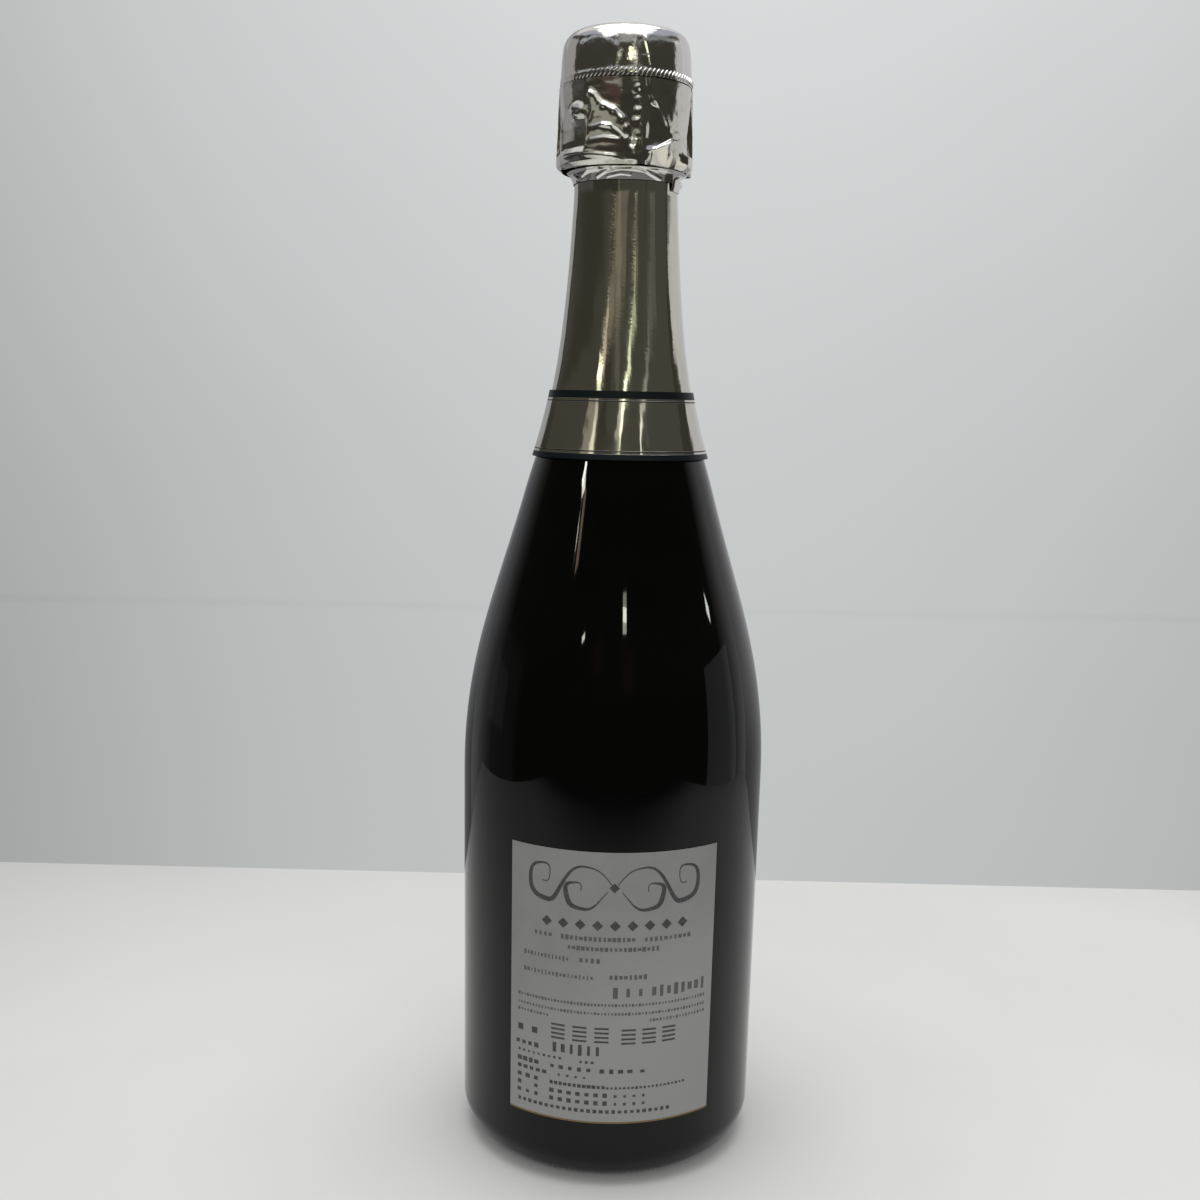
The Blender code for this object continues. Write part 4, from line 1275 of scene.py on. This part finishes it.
def table_top():
    """The slab, its long edges rounded and its far edge a little askew."""
    outline = [*arc((table_back - table_round, -table_round), table_round, 0, 90, 6),
               *arc((table_front + table_round, -table_round), table_round, 90, 180, 6),
               (table_front, -table_thickness), (table_back, -table_thickness)]
    points = [(x, y - x * table_skew if y > 0 else y, z)
              for x in (table_left, table_right) for y, z in outline]
    count = len(outline)
    faces = [tuple(range(count))[::-1], tuple(range(count, 2 * count))]
    for index in range(count):
        beside = (index + 1) % count
        faces.append((index, beside, count + beside, count + index))
    laminate = finish("white_laminate", {"Specular IOR Level": 0.3}, table_look)
    return drawn("table_top", points, faces, laminate)


table = table_top()


def lamp(name, spot, target, size, power, mirrored=True):
    """A square soft lamp that looks at a target."""
    light = bpy.data.lights.new(name, "AREA")
    light.size = size
    light.energy = power
    holder = bpy.data.objects.new(name, light)
    holder.location = spot
    holder.rotation_euler = (Vector(target) - Vector(spot)).to_track_quat("-Z", "Y").to_euler()
    holder.visible_glossy = mirrored
    holder.visible_camera = False
    bpy.context.scene.collection.objects.link(holder)


def gleam(name, path, width, brightness, colour, pieces):
    """Far strips of light along a path of (azimuth, elevation), which only some of the pieces mirror."""
    lit = bpy.data.collections.new(name)
    for piece in pieces:
        lit.objects.link(piece)
    ends = [place(math.cos(math.radians(up)), azimuth, math.sin(math.radians(up))) * gleam_distance
            for azimuth, up in path]
    for low, high, level in zip(ends, ends[1:], brightness):
        light = bpy.data.lights.new(name, "AREA")
        light.shape = "RECTANGLE"
        light.size = gleam_distance * math.radians(width)
        light.size_y = (high - low).length
        light.energy = level * math.pi * light.size * light.size_y
        light.color = colour
        out = (low + high).normalized()
        along = (high - low).normalized()
        along = (along - out * along.dot(out)).normalized()
        holder = bpy.data.objects.new(name, light)
        holder.matrix_world = Matrix.Translation((low + high) / 2 + Vector(gleam_centre)) @ Matrix(
            (along.cross(out), along, out)).transposed().to_4x4()
        holder.visible_camera = False
        holder.visible_diffuse = False
        holder.light_linking.receiver_collection = lit
        bpy.context.scene.collection.objects.link(holder)


gleam_distance = 4.0
gleam_centre = (0, 0, 0.22)
right_wall_end = 118
left_wall_end = -139
wall_white = (1.0, 1.0, 1.03)
glass_pieces = (glass_wall, heel_stipples)
neck_pieces = (sleeve, band)
top_pieces = (top_sheet, knurled_rim)
far_lamps = [  # name, pieces, width, colour, brightness of each stretch, path
    ("glass_lamp_left", glass_pieces, 3.2, (1.0, 1.0, 0.86), (45, 30),
     [(-51.5, 28.6), (-49.5, 27.5), (-47.5, 25.5)]),
    ("glass_lamp_tail", glass_pieces, 2.0, (1.0, 0.74, 0.52), (4,), [(-46.5, 24.9), (-44, 25.7)]),
    ("glass_lamp_low", glass_pieces, 2.2, (1.0, 0.97, 0.80), (26,), [(-30.2, 19.4), (-29.7, 18.4)]),
    ("glass_lamp_middle", glass_pieces, 3.0, (0.95, 1.0, 0.80), (7, 34, 12),
     [(6.3, 25.4), (6.3, 24.0), (6.2, 22.2), (6.2, 20.5)]),
    ("glass_lamp_right", glass_pieces, 3.0, (0.95, 1.0, 0.95), (18,), [(91, 13.7), (89.8, 12.2)]),
    ("glass_side_right", glass_pieces, 30, (0.95, 0.98, 1.0), (0.35,), [(88, -22), (90, 7)]),
    ("glass_glow", glass_pieces, 9, (1.0, 0.30, 0.36), (0.07,), [(-15, 13), (-17, 19)]),
    ("glass_glow_right", glass_pieces, 8, (1.0, 0.25, 0.28), (0.07,), [(9, 9), (10, 18)]),
    ("neck_lamp_left", neck_pieces, 3.0, (1.0, 0.88, 0.68), (0.06, 0.10, 0.12, 0.2, 0.6, 1.4),
     [(3, 12.0), (2, 13.9), (-8.8, 14.4), (-22.9, 15.1), (-30.1, 16.3), (-38.4, 18.2), (-39.7, 20.6)]),
    ("neck_lamp_left_low", (sleeve,), 6.0, (0.98, 1.0, 0.72), (1.3,), [(-37, 18.6), (-39.5, 21.6)]),
    ("neck_glow_left", (sleeve,), 22, (1.0, 0.86, 0.70), (0.06,), [(-10, 14.6), (-16, 17.8)]),
    ("band_lamp_left", (band,), 17.0, (1.0, 0.92, 0.76), (0.24, 0.24), [(-47, 22), (-48, 26), (-48.5, 31)]),
    ("band_lamp_left_core", (band,), 5.0, (1.0, 0.98, 0.76), (0.40, 0.75),
     [(-41, 22.5), (-42.5, 26.0), (-44, 30.5)]),
    ("neck_lamp_middle", neck_pieces, 2.6, (0.98, 1.0, 0.72), (0.08, 0.09, 0.5, 1.2, 2.6, 1.7),
     [(23.5, 13.0), (23.5, 14.4), (19.5, 15.4), (14, 17.3), (7.2, 20.8), (0.8, 24.1), (-3.6, 31.2)]),
    ("band_lamp_middle", (band,), 6.0, (1.0, 0.95, 0.80), (0.6, 0.4), [(-2, 23.5), (-4, 27.5), (-7, 31.5)]),
    ("neck_lamp_right", neck_pieces, 2.6, (1.0, 0.97, 0.86), (0.05, 0.07, 0.16, 0.28, 0.6, 1.4),
     [(66, 12.4), (57, 13.8), (47.5, 15.8), (43, 18.8), (35, 22.8), (30, 26.2), (28.6, 30.5)]),
    ("top_lamp_left", top_pieces, 5.0, (0.9, 0.9, 0.66), (1.0,), [(-19, 16.6), (-12, 17.2)]),
    ("top_lamp_right", top_pieces, 6.0, (1.0, 0.98, 0.66), (2.6,), [(0, 17.2), (7, 16.8)]),
    ("top_lamp_right_low", top_pieces, 5.0, (1.0, 0.98, 0.76), (1.4,), [(8, 17.4), (15, 15.8)]),
    ("loop_glint", (hood,), 14, (0.95, 1.0, 1.0), (1.2,), [(-27, 36), (-23, 46)])]
curtains = [  # name, pieces, azimuth, width, lowest and highest elevation, colour, brightness
    ("neck_wall_right", (sleeve,), right_wall_end - 8, 16, 2, 11.4, wall_white, 0.58),
    ("hood_wall_right", (hood,), right_wall_end - 11, 22, -14, 13, wall_white, 0.56),
    ("hood_wall_left", (hood,), left_wall_end + 15.5, 31, -14, 13, wall_white, 0.23),
    ("top_wall_right", top_pieces, right_wall_end - 11, 22, 6, 30, wall_white, 0.50),
    ("top_wall_left", top_pieces, left_wall_end + 16.5, 33, 6, 30, wall_white, 0.30),
    ("neck_fill_middle", neck_pieces, 8, 60, 3, 33, (0.9, 1.0, 0.8), 0.027),
    ("neck_fill_right", neck_pieces, 67, 58, 3, 33, (0.9, 1.0, 0.9), 0.030),
    ("neck_fill_left", neck_pieces, -78, 112, 15, 34, (1.0, 1.0, 0.9), 0.020),
    ("top_crease_lamp", (top_sheet,), 12, 5, 10, 30, (0.95, 1.0, 0.85), 0.40),
    ("top_fill_left", (top_sheet,), -58, 84, 30.5, 34.5, (0.88, 0.94, 1.0), 0.44),
    ("top_fill_middle", (top_sheet,), -1, 30, 30, 34.5, (0.95, 1.0, 0.98), 0.38),
    ("top_fill_right", (top_sheet,), 62, 92, 30, 34.5, (0.88, 0.95, 1.0), 0.26),
    ("top_sky", (top_sheet,), -3, 78, 40, 88, (1.0, 1.0, 0.97), 0.80),
    ("hood_glow", (hood,), -28, 30, 6, 13, (1.0, 0.35, 0.3), 0.035),
    ("loop_fill", (hood,), -42, 66, 15, 33, (1.0, 1.0, 0.88), 0.30),
    ("crease_glint", (hood,), 12, 6, 9, 15, (0.95, 1.0, 0.80), 0.40),
    ("hem_fill", (hood,), 62, 70, -38, -12, (1.0, 0.97, 0.92), 0.82)]
curtains += [("strip_fill", (strip,), azimuth, 41.5, -24, 12, (0.97, 0.98, 1.0), 0.15)
             for azimuth in (-63, -21, 21, 63)]
for inset in range(9):
    curtains += [("glass_wall_right", glass_pieces, right_wall_end - 10 + inset, 20 - 2 * inset,
                  -22, 33, wall_white, 0.066),
                 ("glass_wall_left", glass_pieces, left_wall_end + 14.5 - 1.5 * inset, 29 - 3 * inset,
                  -22, 33, (1.0, 1.01, 1.05), 0.041)]
for name, pieces, width, colour, brightness, path in far_lamps:
    gleam(name, path, width, brightness, colour, pieces)
for name, pieces, azimuth, width, low, high, colour, brightness in curtains:
    gleam(name, [(azimuth, low), (azimuth, high)], width, (brightness,), colour, pieces)

lamp("overhead_lamp", (0.0, 0.05, 1.5), (0, 0, 0), 1.1, 10.3)
lamp("front_lamp", (0.05, -1.2, 0.50), (0, 0, 0.10), 0.9, 3.5, mirrored=False)

backdrop_grey = (0.972, 1.0, 0.998)
backdrop_middle = 5.5
backdrop_fall = (1 / 2700, 0.3)  # light lost to each square degree off its middle, and the most lost
backdrop_rise = (-20, 33, 1.8)  # lowest elevation, height in degrees, power
backdrop_light = (0.53, 0.145)  # at its foot, and gained at that height
backdrop_mottle = (3.2, 0.04)  # grains, share
seam_slopes = (-0.1525, -0.1512)
seam_soft = 0.004
seam_span = (-40, 40, 5)
seam_depth = 0.015
room_dark = (0.048, 0.044, 0.036)
room_low = (0.040, 0.035, 0.031)
room_change = (4.0, 11.0)
side_white = (0.35, 0.36, 0.38)
side_patches = [  # left, right, softness, lowest and highest elevation, softness, share
    (-128, -84, 8, -14, 6, 6, 0.18), (-112, -96, 4, -5, 3, 2, 0.30)]
wall_right = (0.60, 0.60, 0.62)
wall_left = (0.37, 0.375, 0.39)
wall_edge = (-0.54, 0.46)
wall_foot = (-14, 0, 0.5, 1.0)  # elevations, and the wall's share at each
ceiling_grey = (0.42, 0.44, 0.52)
ceiling_bright = (0.75, 0.75, 0.74)
ceiling_span = (-0.60, 0.42, 0.05)
ceiling_edge = (33, 38)
even_light = 0.52


def backdrop_seen(ray, climb):
    """The pale wall behind the table: brighter upwards, dimmer to both sides, with a faint seam."""
    aside = ray.sum("ARCTAN2", ray.part(0), ray.part(1)) * math.degrees(1) - backdrop_middle
    fall = ray.sum("MINIMUM", aside * aside * backdrop_fall[0], backdrop_fall[1])
    foot, height, power = backdrop_rise
    share = ray.sum("POWER", ray.sum("MAXIMUM", (climb - foot) * (1 / height), 0.0), power)
    level = share * backdrop_light[1] + backdrop_light[0]
    slope = ray.sum("DIVIDE", ray.part(2), ray.part(1))
    seam = slope.between(*seam_slopes, seam_soft) * aside.between(*seam_span) * seam_depth
    mottle = ray.speckle(backdrop_mottle[0], 2.0) * backdrop_mottle[1]
    shade = level * (1 - fall) - seam + mottle
    return ray.node("ShaderNodeVectorMath", {"operation": "SCALE"}, {0: backdrop_grey, "Scale": shade})


def room_mirrored(ray, climb):
    """The dim room that foil and glass mirror: a wall on each side, patches on one, and a ceiling."""
    bearing = ray.bearing()
    azimuth = bearing - camera_azimuth
    wide, core = (azimuth.between(left, right, soft) * climb.between(under, over, tall) * share
                  for left, right, soft, under, over, tall, share in side_patches)
    near_right = bearing.rise(*(right_wall_end + edge for edge in wall_edge))
    near_left = bearing.rise(*(left_wall_end + edge for edge in wall_edge), 1.0, 0.0)
    low = climb.rise(*wall_foot)
    room = (wide + core).blend(climb.rise(*room_change).blend(room_low, room_dark), side_white)
    room = (near_right * low).blend(room, wall_right)
    room = (near_left * low).blend(room, wall_left)
    ceiling = ray.part(0).between(*ceiling_span).blend(ceiling_grey, ceiling_bright)
    return climb.rise(*ceiling_edge).blend(room, ceiling)


def studio():
    """The world: a pale wall for the camera, a dim room for gloss, and even light for the rest."""
    world = bpy.data.worlds.new("studio")
    bpy.context.scene.world = world
    world.use_nodes = True
    world.cycles.sampling_method = "NONE"
    tree = world.node_tree
    tree.nodes.clear()
    ray = Tone(tree).node("ShaderNodeTexCoord", output="Generated")
    climb = ray.sum("ARCSINE", ray.part(2)) * math.degrees(1)
    even, mirrored, backdrop = (
        ray.node("ShaderNodeBackground", None, {"Color": colour, "Strength": strength})
        for colour, strength in (((1.0, 1.0, 1.0, 1), even_light), (room_mirrored(ray, climb), 1.0),
                                 (backdrop_seen(ray, climb), 1.0)))
    is_gloss = ray.node("ShaderNodeLightPath", output="Is Glossy Ray")
    is_camera = ray.node("ShaderNodeLightPath", output="Is Camera Ray")
    glossy = ray.node("ShaderNodeMixShader", None, {0: is_gloss, 1: even, 2: mirrored})
    seen = ray.node("ShaderNodeMixShader", None, {0: is_camera, 1: glossy, 2: backdrop})
    tree.links.new(seen.socket, tree.nodes.new("ShaderNodeOutputWorld").inputs["Surface"])


studio()
bpy.context.scene.view_settings.view_transform = "Standard"
